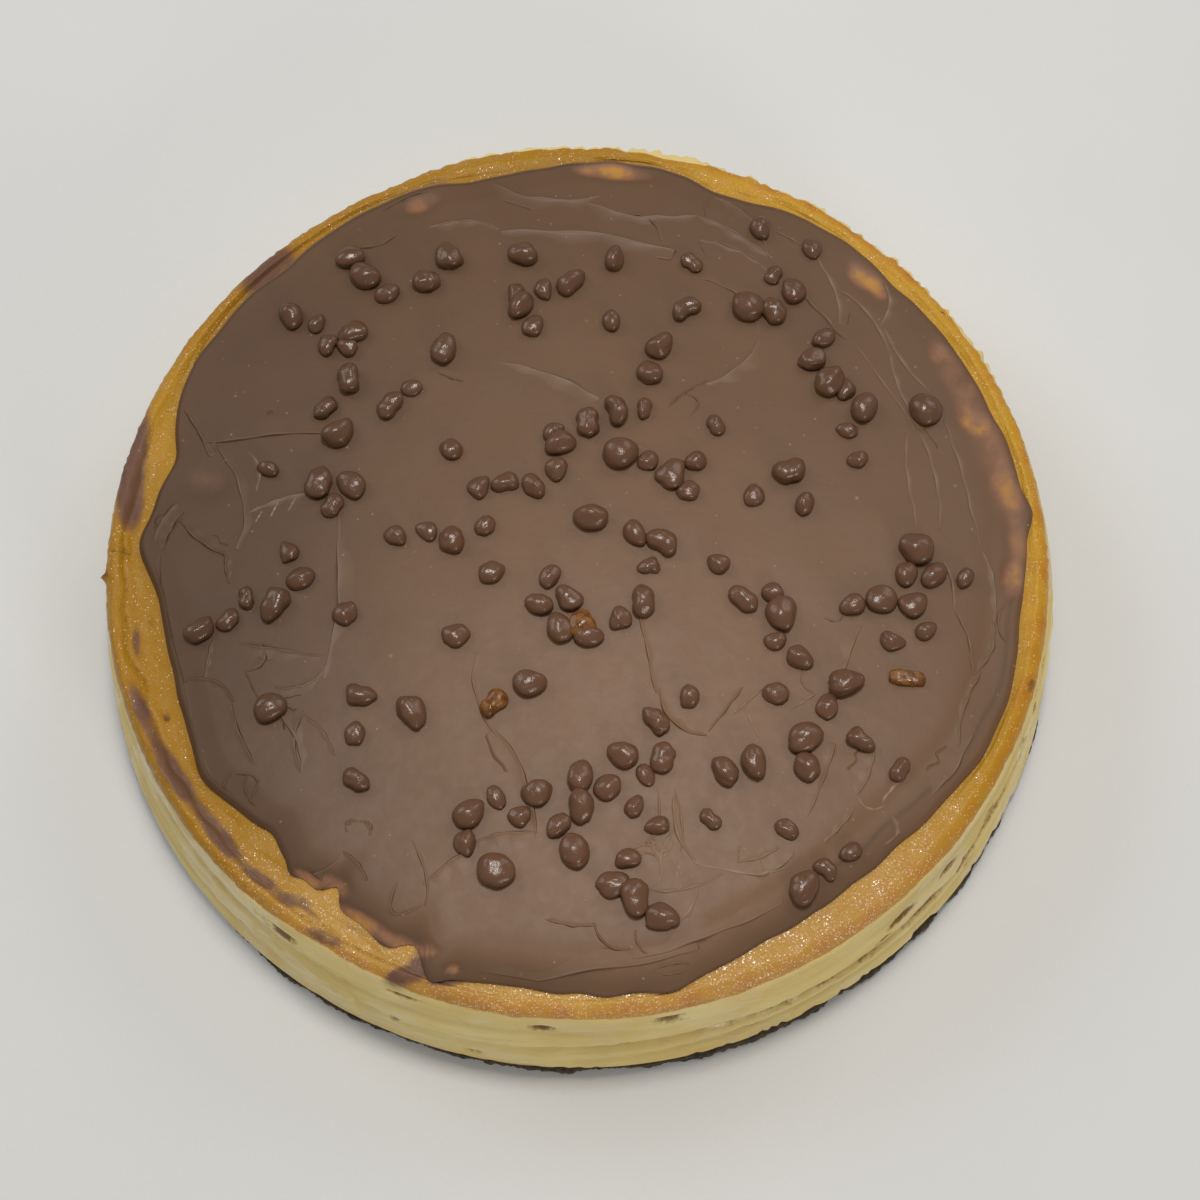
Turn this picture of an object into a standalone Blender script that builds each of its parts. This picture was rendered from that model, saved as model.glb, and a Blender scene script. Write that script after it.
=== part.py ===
"""A whole round baked cheesecake with a chocolate spread and chocolate-coated nuggets on top.

Metres, +Z up. The origin is the centre of the underside, and -Y is the side nearest the viewer.
Three solids stand on each other: the biscuit base, the baked cheese, and the chocolate top,
which is one piece of spread with its spatula ridges and its nuggets fused on.
"""
import math

import bpy
import numpy as np

MM = 0.001

# The whole cake
FOOT_RADIUS = 140.0 * MM         # a 28 cm springform tin
HEIGHT_OF_TOP = 41.8 * MM        # the flat of the baked top, under the chocolate
CLEARANCE = 0.3 * MM             # between one solid and the next
SLICES = 72                      # corners round every outline

# Biscuit base
BASE_THICKNESS = 3.2 * MM
BASE_STEP_BACK = 2.0 * MM        # the base's edge behind the foot of the cheese
BASE_CORNER = 0.8 * MM           # how high its worn lower corner reaches
BASE_RAGGEDNESS = 0.35 * MM

# Side and rim of the baked cheese
FOOT_ROUNDING = 1.6 * MM
SHOULDER_RADIUS = 133.4 * MM
SHOULDER_DROP = 4.2 * MM         # below the flat of the top
RIM_OUTER_RADIUS = 131.8 * MM
LIP_RADIUS = 129.2 * MM
LIP_ROUNDING = 1.5 * MM
CREASE_HEIGHTS = (0.24, 0.50, 0.76)   # as shares of the side's height
CREASE_DEPTH = 1.1 * MM
CREASE_HALF_WIDTH = 0.045        # as a share of the side's height
FOLD_BULGE = 0.7 * MM
SIDE_WAVER = (0.6 * MM, 0.4 * MM)     # out of round, in three broad and seven narrow swells
SIDE_ROWS = 13
# The lip's rise over the top and the valley behind it, at every 30 degrees from +X
LIP_RISE = (0.9, 1.1, 1.3, 1.3, 1.4, 2.0, 2.5, 2.5, 0.9, 0.4, 0.3, 0.5)
VALLEY_DEPTH = (0.2, 0.1, 0.0, 0.0, 0.1, 0.6, 1.0, 0.8, 0.3, 0.0, 0.0, 0.1)

# Chocolate spread: its edge's distance from the middle, at every 10 degrees from +X
SPREAD_EDGE = (
    126, 127, 126, 126, 125, 126, 126, 123, 127, 126, 124, 126,
    127, 127, 127, 126, 122, 120, 121, 117, 117, 120, 119, 119,
    122, 126, 126, 127, 127, 125, 122, 122, 123, 126, 126, 125)
SPREAD_THICKNESS = 2.1 * MM
SPREAD_EDGE_THICKNESS = 1.0 * MM
SPREAD_EDGE_ROUNDING = 1.4 * MM
SPREAD_EDGE_SLOPE = 8.0 * MM     # the width over which it reaches its full thickness
SPREAD_WAVE = 0.22 * MM
GROOVE_DEPTH = 0.6 * MM          # the spatula's broad track inside the front right edge
GROOVE_INSET = 9.0 * MM
GROOVE_HALF_WIDTH = 4.0 * MM
GROOVE_MIDDLE = math.radians(-45.0)
SPREAD_ROWS = 9

# Spatula ridges: from x, y to x, y, the bow to the left of that way, and the height, in mm
RIDGES = (
    (-46, 105, 26, 98, -2, 0.8), (-22, 117, 63, 82, 13, 0.8), (37, 85, 26, 41, 21, 0.9),
    (-67, 6, -72, -43, 3, 0.7), (-33, -34, -11, -80, 2, 0.8), (17, -24, 34, -62, -5, 0.8),
    (-28, -119, 53, -108, -4, 0.7), (-107, -41, -86, -64, 7, 0.9))
RIDGE_HALF_WIDTH = 1.5 * MM
RIDGE_SINK = 0.8 * MM
RIDGE_STEPS = 10
RIDGE_END = 0.15                 # share of the height that is left at the ends
RIDGE_LEAN = 0.2                 # how far the crest stands off the middle

# Nuggets: single ones at x, y in mm, and clumps at x, y with how many touch there
SINGLE_NUGGETS = (
    (55, 101), (-38, 91), (-16, 91), (11, 90), (34, 89), (70, 94), (-45, 83), (10, 69), (32, 73),
    (-67, 61), (-39, 60), (24, 61), (-66, 50), (21, 52), (-73, 41), (3, 36), (40, 35), (100, 39),
    (-69, 33), (-36, 28), (-7, 33), (-88, 22), (-28, 16), (60, 20), (80, 24), (4, 6), (31, 14),
    (50, 13), (64, 10), (-81, -4), (-26, 4), (-77, -12), (-24, -10), (39, -8), (-64, -22),
    (-34, -29), (-13, -43), (90, -42), (-83, -50), (-59, -46), (-45, -51), (-23, -49), (21, -54),
    (30, -47), (54, -46), (-60, -57), (23, -64), (76, -60), (-59, -70), (86, -68), (35, -81),
    (55, -84), (-21, -95), (86, -31), (62, -105))
NUGGET_CLUMPS = (
    (-62, 85, 3), (-10, 80, 3), (-15, 71, 2), (61, 82, 2), (-75, 67, 4), (54, 73, 2),
    (71, 56, 3), (-51, 45, 2), (15, 40, 2), (79, 40, 3), (-11, 21, 4), (23, 23, 4),
    (-69, 15, 3), (-43, 1, 3), (20, -3, 3), (-94, -22, 4), (-5, -19, 4), (-1, -28, 2),
    (15, -22, 2), (50, -18, 2), (98, -10, 4), (87, -22, 4), (57, -30, 3), (70, -47, 2),
    (61, -63, 2), (15, -66, 2), (18, -80, 2), (43, -67, 2), (-29, -83, 2), (3, -73, 3),
    (-16, -76, 3), (-3, -86, 2), (11, -95, 2), (18, -105, 2), (65, -95, 3))
SHORTEST_NUGGET = 6.4 * MM
LONGEST_NUGGET = 10.8 * MM
NUGGET_WIDTH = (0.68, 0.90)      # as shares of the length
NUGGET_HEIGHT = (0.50, 0.66)
NUGGET_LUMP = 0.07               # as a share of the size
NUGGET_SPACING = 8.2 * MM
NUGGET_SINK = 1.1 * MM           # how deep a nugget is pressed into the spread
LARGE_NUGGET = 8.0 * MM          # from this length on a nugget has one more side
NUGGET_SIDES = 5
NUGGET_RINGS = 4
NUGGET_TWIST = 0.4               # radians from ring to ring
NUGGET_SEED = 28


def material(name, colour, roughness):
    """A plain Principled material of one colour."""
    made = bpy.data.materials.new(name)
    made.use_nodes = True
    shader = made.node_tree.nodes["Principled BSDF"]
    shader.inputs["Base Color"].default_value = (*colour, 1.0)
    shader.inputs["Roughness"].default_value = roughness
    shader.inputs["Metallic"].default_value = 0.0
    made.diffuse_color = (*colour, 1.0)
    return made


def mesh_object(name, points, faces, look=None):
    """An object at the origin from its corner points and faces."""
    mesh = bpy.data.meshes.new(name)
    mesh.from_pydata([tuple(point) for point in points], [], faces)
    mesh.validate()
    made = bpy.data.objects.new(name, mesh)
    bpy.context.scene.collection.objects.link(made)
    if look:
        mesh.materials.append(look)
        mesh.shade_smooth()
        mesh.set_sharp_from_angle(angle=math.radians(40.0))
    return made


def turned_solid(name, rows, look=None):
    """A closed solid from rings of corners: the first and the last row are drawn in to a point.

    Row by row the rings run from the bottom up, and each ring runs anticlockwise seen from above.
    """
    count = rows[0].shape[0]
    bottom = rows[0].mean(axis=0)
    top = rows[-1].mean(axis=0)
    points = [bottom]
    for row in rows[1:-1]:
        points.extend(row)
    points.append(top)
    rings = len(rows) - 2
    last = len(points) - 1
    faces = []
    for step in range(count):
        after = (step + 1) % count
        faces.append((0, 1 + after, 1 + step))
        for ring in range(rings - 1):
            low = 1 + ring * count
            high = low + count
            faces.append((low + step, low + after, high + after, high + step))
        crown = 1 + (rings - 1) * count
        faces.append((crown + step, crown + after, last))
    return mesh_object(name, points, faces, look)


def smooth_round(values, angle):
    """A closed smooth curve through evenly spaced values, read at an angle (Catmull-Rom)."""
    values = np.asarray(values, dtype=float)
    place = np.asarray(angle) / (2.0 * math.pi) * len(values)
    whole = np.floor(place).astype(int)
    part = place - whole
    before, here, after, beyond = (values[(whole + shift) % len(values)] for shift in (-1, 0, 1, 2))
    return here + 0.5 * part * (
        after - before
        + part * (2 * before - 5 * here + 4 * after - beyond
                  + part * (3 * (here - after) + beyond - before)))


def ring(radius, height):
    """One ring of corners from a radius and a height, each a number or one value for each corner."""
    return np.stack([radius * np.cos(ANGLES), radius * np.sin(ANGLES),
                     np.broadcast_to(height, ANGLES.shape)], axis=-1)


ANGLES = np.linspace(0.0, 2.0 * math.pi, SLICES, endpoint=False)
EDGE = smooth_round(SPREAD_EDGE, ANGLES) * MM
RISE = smooth_round(LIP_RISE, ANGLES) * MM
VALLEY = smooth_round(VALLEY_DEPTH, ANGLES) * MM
# Rings of the baked top that the spread lies on: share of the spread's radius, share of the valley
TOP_RINGS = ((1.0, 0.6), (0.94, 0.2), (0.5, 0.0), (0.0, 0.0))


def baked_top_ring(share, dip, lift=0.0):
    """A ring of the baked top under the spread, raised by lift for the spread's own underside."""
    return ring(EDGE * share, HEIGHT_OF_TOP - VALLEY * dip + lift)


def make_base(look):
    """The biscuit base: a flat disc with a slightly uneven edge that stands back from the side."""
    ragged = BASE_RAGGEDNESS * np.sin(9 * ANGLES) * np.sin(4 * ANGLES + 1.0)
    edge = FOOT_RADIUS - BASE_STEP_BACK + ragged
    rows = [ring(0.0, 0.0), ring(edge - 0.6 * BASE_CORNER, 0.0), ring(edge, BASE_CORNER),
            ring(edge - 0.4 * BASE_CORNER, BASE_THICKNESS), ring(0.0, BASE_THICKNESS)]
    return turned_solid("biscuit_base", rows, look)


def side_radius(share):
    """Radius of the side at a share of its height: it leans in, bulges in folds and is creased.

    The unevenness fades out at the foot and under the rim.
    """
    lean = FOOT_RADIUS + (SHOULDER_RADIUS - FOOT_RADIUS) * share
    broad, narrow = SIDE_WAVER
    waver = broad * np.sin(3 * ANGLES + 0.6) + narrow * np.sin(7 * ANGLES + 4.0 * share)
    fold = FOLD_BULGE * math.sin(math.pi * share) * np.ones(SLICES)
    for number, height in enumerate(CREASE_HEIGHTS):
        centre = height + 0.03 * np.sin(2 * ANGLES + 2.1 * number)
        depth = CREASE_DEPTH * (0.65 + 0.35 * np.sin(4 * ANGLES + 1.7 * number))
        fold -= depth * np.exp(-((share - centre) / CREASE_HALF_WIDTH) ** 2)
    fade = min(1.0, 6.0 * share, 8.0 * (1.0 - share) + 0.2)
    return lean + (waver + fold) * fade


def make_cheese(look):
    """The baked cheese: creased leaning side, browned rim with its lip and valley, flat top."""
    foot = BASE_THICKNESS + CLEARANCE
    shoulder = HEIGHT_OF_TOP - SHOULDER_DROP
    rows = [ring(0.0, foot), ring(FOOT_RADIUS - FOOT_ROUNDING, foot)]
    for share in np.linspace(0.0, 1.0, SIDE_ROWS):
        low = foot + FOOT_ROUNDING
        rows.append(ring(side_radius(share), low + (shoulder - low) * share))
    lip = HEIGHT_OF_TOP + RISE
    rows.append(ring(RIM_OUTER_RADIUS, lip - LIP_ROUNDING))
    rows.append(ring(LIP_RADIUS, lip))
    rows.append(ring(0.5 * (EDGE + LIP_RADIUS), HEIGHT_OF_TOP - VALLEY + 0.15 * RISE))
    rows.extend(baked_top_ring(share, dip) for share, dip in TOP_RINGS)
    return turned_solid("baked_cheese", rows, look)


def wave(x, y):
    """Broad unevenness that the spatula left in the spread."""
    along = np.sin(38.0 * x + 21.0 * y + 0.4) + 0.7 * np.sin(61.0 * y - 27.0 * x + 2.0)
    return SPREAD_WAVE * (along + 0.5 * np.sin(95.0 * x + 40.0 * y))


def spread_height(x, y):
    """Height of the spread's face at a place: even thickness, broad waves and the edge groove."""
    angle = np.arctan2(y, x) % (2.0 * math.pi)
    inset = smooth_round(SPREAD_EDGE, angle) * MM - np.hypot(x, y)
    near_middle = np.clip(np.cos(angle - GROOVE_MIDDLE), 0.0, 1.0) ** 2
    groove = GROOVE_DEPTH * near_middle * np.exp(-((inset - GROOVE_INSET) / GROOVE_HALF_WIDTH) ** 2)
    full = np.clip(inset / SPREAD_EDGE_SLOPE, 0.0, 1.0)
    floor = HEIGHT_OF_TOP + CLEARANCE
    return floor + SPREAD_THICKNESS * (0.75 + 0.25 * full) + full * wave(x, y) - groove


def make_spread(look):
    """The spread: its underside follows the baked top, its edge is rounded, its face is waved."""
    rows = [baked_top_ring(share, dip, CLEARANCE) for share, dip in reversed(TOP_RINGS)]
    edge_floor = HEIGHT_OF_TOP - VALLEY * TOP_RINGS[0][1] + CLEARANCE
    rows.append(ring(EDGE - 0.2 * MM, edge_floor + SPREAD_EDGE_THICKNESS))
    for share in np.linspace(1.0, 0.0, SPREAD_ROWS):
        radius = (EDGE - SPREAD_EDGE_ROUNDING) * share
        rows.append(ring(radius, spread_height(radius * np.cos(ANGLES), radius * np.sin(ANGLES))))
    return turned_solid("chocolate_top", rows, look)


def arc_points(start_x, start_y, end_x, end_y, bow, steps):
    """Points and left-hand directions along an arc between two places, bowed to the left."""
    start = np.array((start_x, start_y)) * MM
    way = np.array((end_x, end_y)) * MM - start
    left = np.array((-way[1], way[0])) / np.hypot(*way)
    share = np.linspace(0.0, 1.0, steps + 1)
    points = start + np.outer(share, way) + np.outer(4.0 * share * (1.0 - share), left * bow * MM)
    tangent = np.gradient(points, axis=0)
    tangent /= np.hypot(*tangent.T)[:, None]
    return points, np.stack([-tangent[:, 1], tangent[:, 0]], axis=-1)


def make_ridge(number, line):
    """A spatula ridge: a low sharp-crested bar along an arc, drawn down to nothing at both ends."""
    points, left = arc_points(*line[:5], RIDGE_STEPS)
    height = line[5] * MM
    corners = []
    for step, (place, side) in enumerate(zip(points, left)):
        swell = RIDGE_END + (1.0 - RIDGE_END) * math.sin(math.pi * step / RIDGE_STEPS)
        half_width = RIDGE_HALF_WIDTH * 0.5 * (1.0 + swell)
        face = float(spread_height(*place))
        for offset, rise in ((-1.0, -RIDGE_SINK), (1.0, -RIDGE_SINK), (RIDGE_LEAN, height * swell)):
            x, y = place + side * offset * half_width
            corners.append((x, y, face + rise))
    faces = [(2, 1, 0)]
    for step in range(RIDGE_STEPS):
        for corner in range(3):
            here = 3 * step + corner
            beside = 3 * step + (corner + 1) % 3
            faces.append((here, beside, beside + 3, here + 3))
    last = 3 * RIDGE_STEPS
    faces.append((last, last + 1, last + 2))
    return mesh_object(f"ridge_{number}", corners, faces)


def nugget_places(draw):
    """Where the nuggets lie: the single ones, then the clumps, each grown nugget by nugget.

    In a clump each nugget touches an earlier one and keeps off the others.
    """
    places = [np.array(place, dtype=float) * MM for place in SINGLE_NUGGETS]
    for x, y, count in NUGGET_CLUMPS:
        clump = [np.zeros(2)]
        while len(clump) < count:
            turn = draw.uniform(0.0, 2.0 * math.pi)
            beside = clump[draw.integers(len(clump))]
            tried = beside + NUGGET_SPACING * np.array((math.cos(turn), math.sin(turn)))
            if all(np.hypot(*(tried - other)) > 0.95 * NUGGET_SPACING for other in clump):
                clump.append(tried)
        middle = np.mean(clump, axis=0)
        places.extend(np.array((x, y)) * MM + spot - middle for spot in clump)
    return places


def make_nugget(number, place, draw):
    """A nugget: a lumpy egg with its own length, width and height, turned at random, part sunk.

    Short ones are commoner than long ones, and none reaches over the spread's edge.
    """
    length = SHORTEST_NUGGET + (LONGEST_NUGGET - SHORTEST_NUGGET) * draw.random() ** 1.5
    half = 0.5 * length * np.array((1.0, draw.uniform(*NUGGET_WIDTH), draw.uniform(*NUGGET_HEIGHT)))
    turn = draw.uniform(0.0, 2.0 * math.pi)
    lumps = draw.normal(0.0, 1.0, (3, 3))
    edge = float(smooth_round(SPREAD_EDGE, math.atan2(place[1], place[0]) % (2.0 * math.pi))) * MM
    furthest = edge - 0.5 * length - SPREAD_EDGE_ROUNDING
    x, y = place * min(1.0, furthest / np.hypot(*place))
    height = float(spread_height(x, y)) + half[2] - NUGGET_SINK
    sides = NUGGET_SIDES + int(length > LARGE_NUGGET)
    rows = []
    for level in range(NUGGET_RINGS + 1):
        polar = math.pi * level / NUGGET_RINGS
        around = np.linspace(0.0, 2.0 * math.pi, sides, endpoint=False) + NUGGET_TWIST * level
        unit = np.stack([np.cos(around) * math.sin(polar), np.sin(around) * math.sin(polar),
                         np.full(sides, -math.cos(polar))], axis=-1)
        swell = 1.0 + NUGGET_LUMP * np.sin(2.4 * unit @ lumps.T).sum(axis=1)
        body = unit * half * swell[:, None]
        rows.append(np.stack([x + body[:, 0] * math.cos(turn) - body[:, 1] * math.sin(turn),
                              y + body[:, 0] * math.sin(turn) + body[:, 1] * math.cos(turn),
                              height + body[:, 2]], axis=-1))
    return turned_solid(f"nugget_{number}", rows)


def fuse(target, pieces):
    """One union of the pieces with the target, applied, with the pieces then removed."""
    group = bpy.data.collections.new("toppings")
    bpy.context.scene.collection.children.link(group)
    for piece in pieces:
        bpy.context.scene.collection.objects.unlink(piece)
        group.objects.link(piece)
    union = target.modifiers.new("toppings", "BOOLEAN")
    union.operation = "UNION"
    union.operand_type = "COLLECTION"
    union.collection = group
    union.solver = "EXACT"
    seen = target.evaluated_get(bpy.context.evaluated_depsgraph_get())
    fused = bpy.data.meshes.new_from_object(seen)
    target.modifiers.clear()
    target.data = fused
    fused.name = target.name
    for piece in pieces:
        bpy.data.objects.remove(piece)
    bpy.data.collections.remove(group)


def build():
    """Clears the scene and builds the cake from the bottom up."""
    for old in list(bpy.data.objects):
        bpy.data.objects.remove(old)
    make_base(material("biscuit", (0.050, 0.022, 0.009), 0.75))
    make_cheese(material("cheese", (0.62, 0.40, 0.14), 0.35))
    spread = make_spread(material("chocolate", (0.175, 0.098, 0.070), 0.42))
    draw = np.random.default_rng(NUGGET_SEED)
    pieces = [make_ridge(number, line) for number, line in enumerate(RIDGES)]
    places = nugget_places(draw)
    pieces += [make_nugget(number, place, draw) for number, place in enumerate(places)]
    fuse(spread, pieces)


build()
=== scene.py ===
"""The looks of a whole round baked cheesecake with a chocolate spread and chocolate-coated nuggets.

Metres, +Z up, the origin at the centre of the underside, -Y the side nearest the viewer. The
sections follow the cake from the bottom up: biscuit base, baked cheese, spread, the spatula's
strokes in it, coated nuggets and bare caramel nuggets. Lengths with MM are in millimetres.
"""

import math

import bpy
import numpy as np
from mathutils import Matrix, Vector


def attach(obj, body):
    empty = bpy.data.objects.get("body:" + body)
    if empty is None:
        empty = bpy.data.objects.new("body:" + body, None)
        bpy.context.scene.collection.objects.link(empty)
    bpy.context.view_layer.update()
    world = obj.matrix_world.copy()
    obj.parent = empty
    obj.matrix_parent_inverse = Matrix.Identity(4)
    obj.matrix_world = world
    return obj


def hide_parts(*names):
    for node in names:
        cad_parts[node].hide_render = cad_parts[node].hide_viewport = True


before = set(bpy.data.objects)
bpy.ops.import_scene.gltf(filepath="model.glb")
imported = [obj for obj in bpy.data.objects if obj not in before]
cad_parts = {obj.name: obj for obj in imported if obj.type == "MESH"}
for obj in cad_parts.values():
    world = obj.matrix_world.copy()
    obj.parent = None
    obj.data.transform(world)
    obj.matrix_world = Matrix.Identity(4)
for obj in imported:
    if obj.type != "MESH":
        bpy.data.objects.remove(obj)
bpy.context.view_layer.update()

# ---------------------------------------------------------------------------------------------
# Camera. A phone held over the front edge of the cake and tilted steeply down. Its lens, place
# and tilt were worked out from the outline of the cake's rim and foot in a square picture.
MM = 0.001
LENS = 56.13                     # for a sensor 36 wide
LOOKING_DOWN = math.radians(68.44)
ROLL = math.radians(-0.32)
CAMERA_PLACE = Vector((6.2, -208.8, 526.0)) * MM

ahead = Vector((0.0, math.cos(LOOKING_DOWN), -math.sin(LOOKING_DOWN)))
level = Vector((1.0, 0.0, 0.0))
rightwards = math.cos(ROLL) * level + math.sin(ROLL) * level.cross(ahead)
camera = bpy.data.objects.new("camera", bpy.data.cameras.new("camera"))
bpy.context.scene.collection.objects.link(camera)
camera.data.lens = LENS
camera.data.sensor_width = 36.0
camera.data.clip_start = 0.01
camera.matrix_world = Matrix.Translation(CAMERA_PLACE) @ Matrix(
    (rightwards, rightwards.cross(ahead), -ahead)).transposed().to_4x4()
bpy.context.scene.camera = camera

# ---------------------------------------------------------------------------------------------
# Floor and light. A plain pale floor under a pale sky, large soft lamps at the left and behind,
# a small warm one overhead that puts the highlights on the chocolate, and a low one at the front.
FLOOR_HALF_WIDTH = 4.0
FLOOR_DROP = 0.1 * MM            # how far the floor lies under the cake's underside
FLOOR_COLOUR = (0.735, 0.735, 0.72)
SKY_COLOUR = (0.95, 0.97, 0.98)
SKY_STRENGTH = 0.28
LAMPS = (
    # name, place, square side, watts, colour
    ("lamp_high_left", (-1.10, 0.75, 1.05), 0.80, 5.7, (0.96, 0.98, 1.0)),
    ("lamp_overhead", (0.03, 0.13, 1.05), 0.19, 4.6, (1.0, 0.96, 0.92)),
    ("lamp_back_right", (0.80, 0.95, 1.10), 0.70, 3.7, (1.0, 0.97, 0.93)),
    ("lamp_front_right", (0.66, -1.18, 0.50), 0.36, 4.0, (1.0, 0.95, 0.87)))

bpy.context.scene.view_settings.view_transform = "Standard"
sky = bpy.data.worlds.new("pale_sky")
bpy.context.scene.world = sky
sky.use_nodes = True
sky.node_tree.nodes["Background"].inputs["Color"].default_value = (*SKY_COLOUR, 1.0)
sky.node_tree.nodes["Background"].inputs["Strength"].default_value = SKY_STRENGTH

for name, place, side, watts, colour in LAMPS:
    lamp = bpy.data.objects.new(name, bpy.data.lights.new(name, "AREA"))
    bpy.context.scene.collection.objects.link(lamp)
    lamp.data.size = side
    lamp.data.energy = watts
    lamp.data.color = colour
    lamp.matrix_world = Matrix.Translation(place) @ Vector(place).to_track_quat("Z", "Y").to_matrix().to_4x4()


def put(tree, kind, sockets=None, **settings):
    """Adds a shader node with its settings, and fills its sockets with values or with links."""
    made = tree.nodes.new("ShaderNode" + kind)
    for name, value in settings.items():
        setattr(made, name, value)
    for name, value in (sockets or {}).items():
        if isinstance(value, bpy.types.NodeSocket):
            tree.links.new(value, made.inputs[name])
        else:
            made.inputs[name].default_value = value
    return made


def blend(tree, share, first, second):
    """Mixes two colours by a share from 0 to 1; each is a colour or a link."""
    made = tree.nodes.new("ShaderNodeMix")
    made.data_type = "RGBA"
    for socket, value in ((0, share), (6, first), (7, second)):
        if isinstance(value, bpy.types.NodeSocket):
            tree.links.new(value, made.inputs[socket])
        elif socket:
            made.inputs[socket].default_value = (*value, 1.0)
        else:
            made.inputs[socket].default_value = value
    return made.outputs[2]


def spread_out(tree, value, low, high, to_low=0.0, to_high=1.0, soft=True):
    """Maps low..high to to_low..to_high and holds it there, with soft ends or straight."""
    return put(tree, "MapRange", {"Value": value, "From Min": low, "From Max": high,
                                  "To Min": to_low, "To Max": to_high},
               interpolation_type="SMOOTHSTEP" if soft else "LINEAR").outputs["Result"]


def sum_up(tree, how, first, second=0.0):
    """One step of arithmetic on two numbers or links."""
    return put(tree, "Math", {0: first, 1: second}, operation=how).outputs["Value"]


def new_look(name, **constants):
    """A Principled material with its plain values set: gives it, its tree, shader and position."""
    made = bpy.data.materials.new(name)
    made.use_nodes = True
    tree = made.node_tree
    shader = tree.nodes["Principled BSDF"]
    for socket, value in constants.items():
        shader.inputs[socket.replace("_", " ")].default_value = value
    return made, tree, shader, put(tree, "TexCoord").outputs["Object"]


def join_up(tree, shader, colour, roughness, height, depth):
    """Leads a colour, a roughness and a relief of 0 to 1 with its depth in metres to the shader."""
    relief = put(tree, "Bump", {"Height": height, "Distance": depth, "Strength": 1.0})
    tree.links.new(colour, shader.inputs["Base Color"])
    tree.links.new(roughness, shader.inputs["Roughness"])
    tree.links.new(relief.outputs["Normal"], shader.inputs["Normal"])


def new_group(name, inputs, outputs):
    """A shader node group with its named inputs (and their values) and outputs."""
    group = bpy.data.node_groups.new(name, "ShaderNodeTree")
    for title, kind, value in inputs:
        socket = group.interface.new_socket(title, in_out="INPUT", socket_type=kind)
        if value is not None:
            socket.default_value = value
    for title in outputs:
        group.interface.new_socket(title, in_out="OUTPUT", socket_type="NodeSocketFloat")
    return group, group.nodes.new("NodeGroupInput").outputs, group.nodes.new("NodeGroupOutput").inputs


def from_group(tree, group, sockets):
    """Places a node group in a material with this material's own values."""
    made = put(tree, "Group", node_tree=group)
    for name, value in sockets.items():
        if isinstance(value, bpy.types.NodeSocket):
            tree.links.new(value, made.inputs[name])
        else:
            made.inputs[name].default_value = value
    return made.outputs


# Mottling: soft uneven patches of 0 to 1. Size is in metres, contrast is how much of the way from
# grey to black and white they go, and detail how many finer layers lie on the broad one.
mottling, given, out = new_group(
    "mottling", (("Vector", "NodeSocketVector", None), ("Size", "NodeSocketFloat", 0.01),
                 ("Contrast", "NodeSocketFloat", 0.5), ("Detail", "NodeSocketFloat", 4.0)), ("Mask",))
cloud = put(mottling, "TexNoise", {"Vector": given["Vector"], "Detail": given["Detail"], "Roughness": 0.55,
                                   "Scale": sum_up(mottling, "DIVIDE", 1.0, given["Size"])})
# half of the range of the noise that is spread over 0 to 1: 0.5 less 0.45 of the contrast
half_width = sum_up(mottling, "MULTIPLY_ADD", given["Contrast"], -0.45)
half_width.node.inputs[2].default_value = 0.5
mottling.links.new(spread_out(mottling, cloud.outputs["Fac"],
                              sum_up(mottling, "SUBTRACT", 0.5, half_width),
                              sum_up(mottling, "ADD", 0.5, half_width)), out["Mask"])


def mottled(tree, vector, size, contrast, **more):
    """Places mottling of a size and a contrast in a material, and gives its mask."""
    return from_group(tree, mottling, {"Vector": vector, "Size": size, "Contrast": contrast, **more})["Mask"]


floor_look, tree, shader, position = new_look("pale_card", Specular_IOR_Level=0.2)
patches = mottled(tree, position, 0.09, 0.2)
grain = mottled(tree, position, 0.0015, 0.4)
join_up(tree, shader, blend(tree, patches, FLOOR_COLOUR, tuple(0.97 * part for part in FLOOR_COLOUR)),
        spread_out(tree, grain, 0.0, 1.0, 0.75, 0.9), grain, 0.00004)
floor_mesh = bpy.data.meshes.new("floor")
floor_mesh.from_pydata([(x * FLOOR_HALF_WIDTH, y * FLOOR_HALF_WIDTH, -FLOOR_DROP)
                        for x, y in ((-1, -1), (1, -1), (1, 1), (-1, 1))], [], [(0, 1, 2, 3)])
floor_mesh.materials.append(floor_look)
floor = bpy.data.objects.new("floor", floor_mesh)
bpy.context.scene.collection.objects.link(floor)

# ---------------------------------------------------------------------------------------------
# Biscuit base. Dark biscuit crumbs pressed with butter into a thin flat disc, a little smaller
# than the cheese's foot. Loose crumbs at its edge reach that foot, and show as a dark line.
FOOT_RADIUS = 140.0 * MM
BASE_THICKNESS = 3.2 * MM
BASE_STEP_BACK = 2.0 * MM
BASE_CORNER = 0.8 * MM
BASE_RAGGEDNESS = 0.35 * MM
CRUMB_SIZE = 1.7 * MM
CRUMB_RELIEF = 0.16 * MM
# How far loose crumbs stand out from the disc: mean, broad swing, fine swing, least and most
LOOSE_CRUMBS = (2.35 * MM, 0.38 * MM, 0.11 * MM, 1.2 * MM, 3.3 * MM)
TUCKED_UNDER = 197               # degrees from +X at which the cheese hangs over the crumbs
BASE_SIDES = 1440
BASE_ROWS = 18
BISCUIT_DARK = (0.024, 0.016, 0.008)
BISCUIT_LIGHT = (0.095, 0.064, 0.030)


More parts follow.
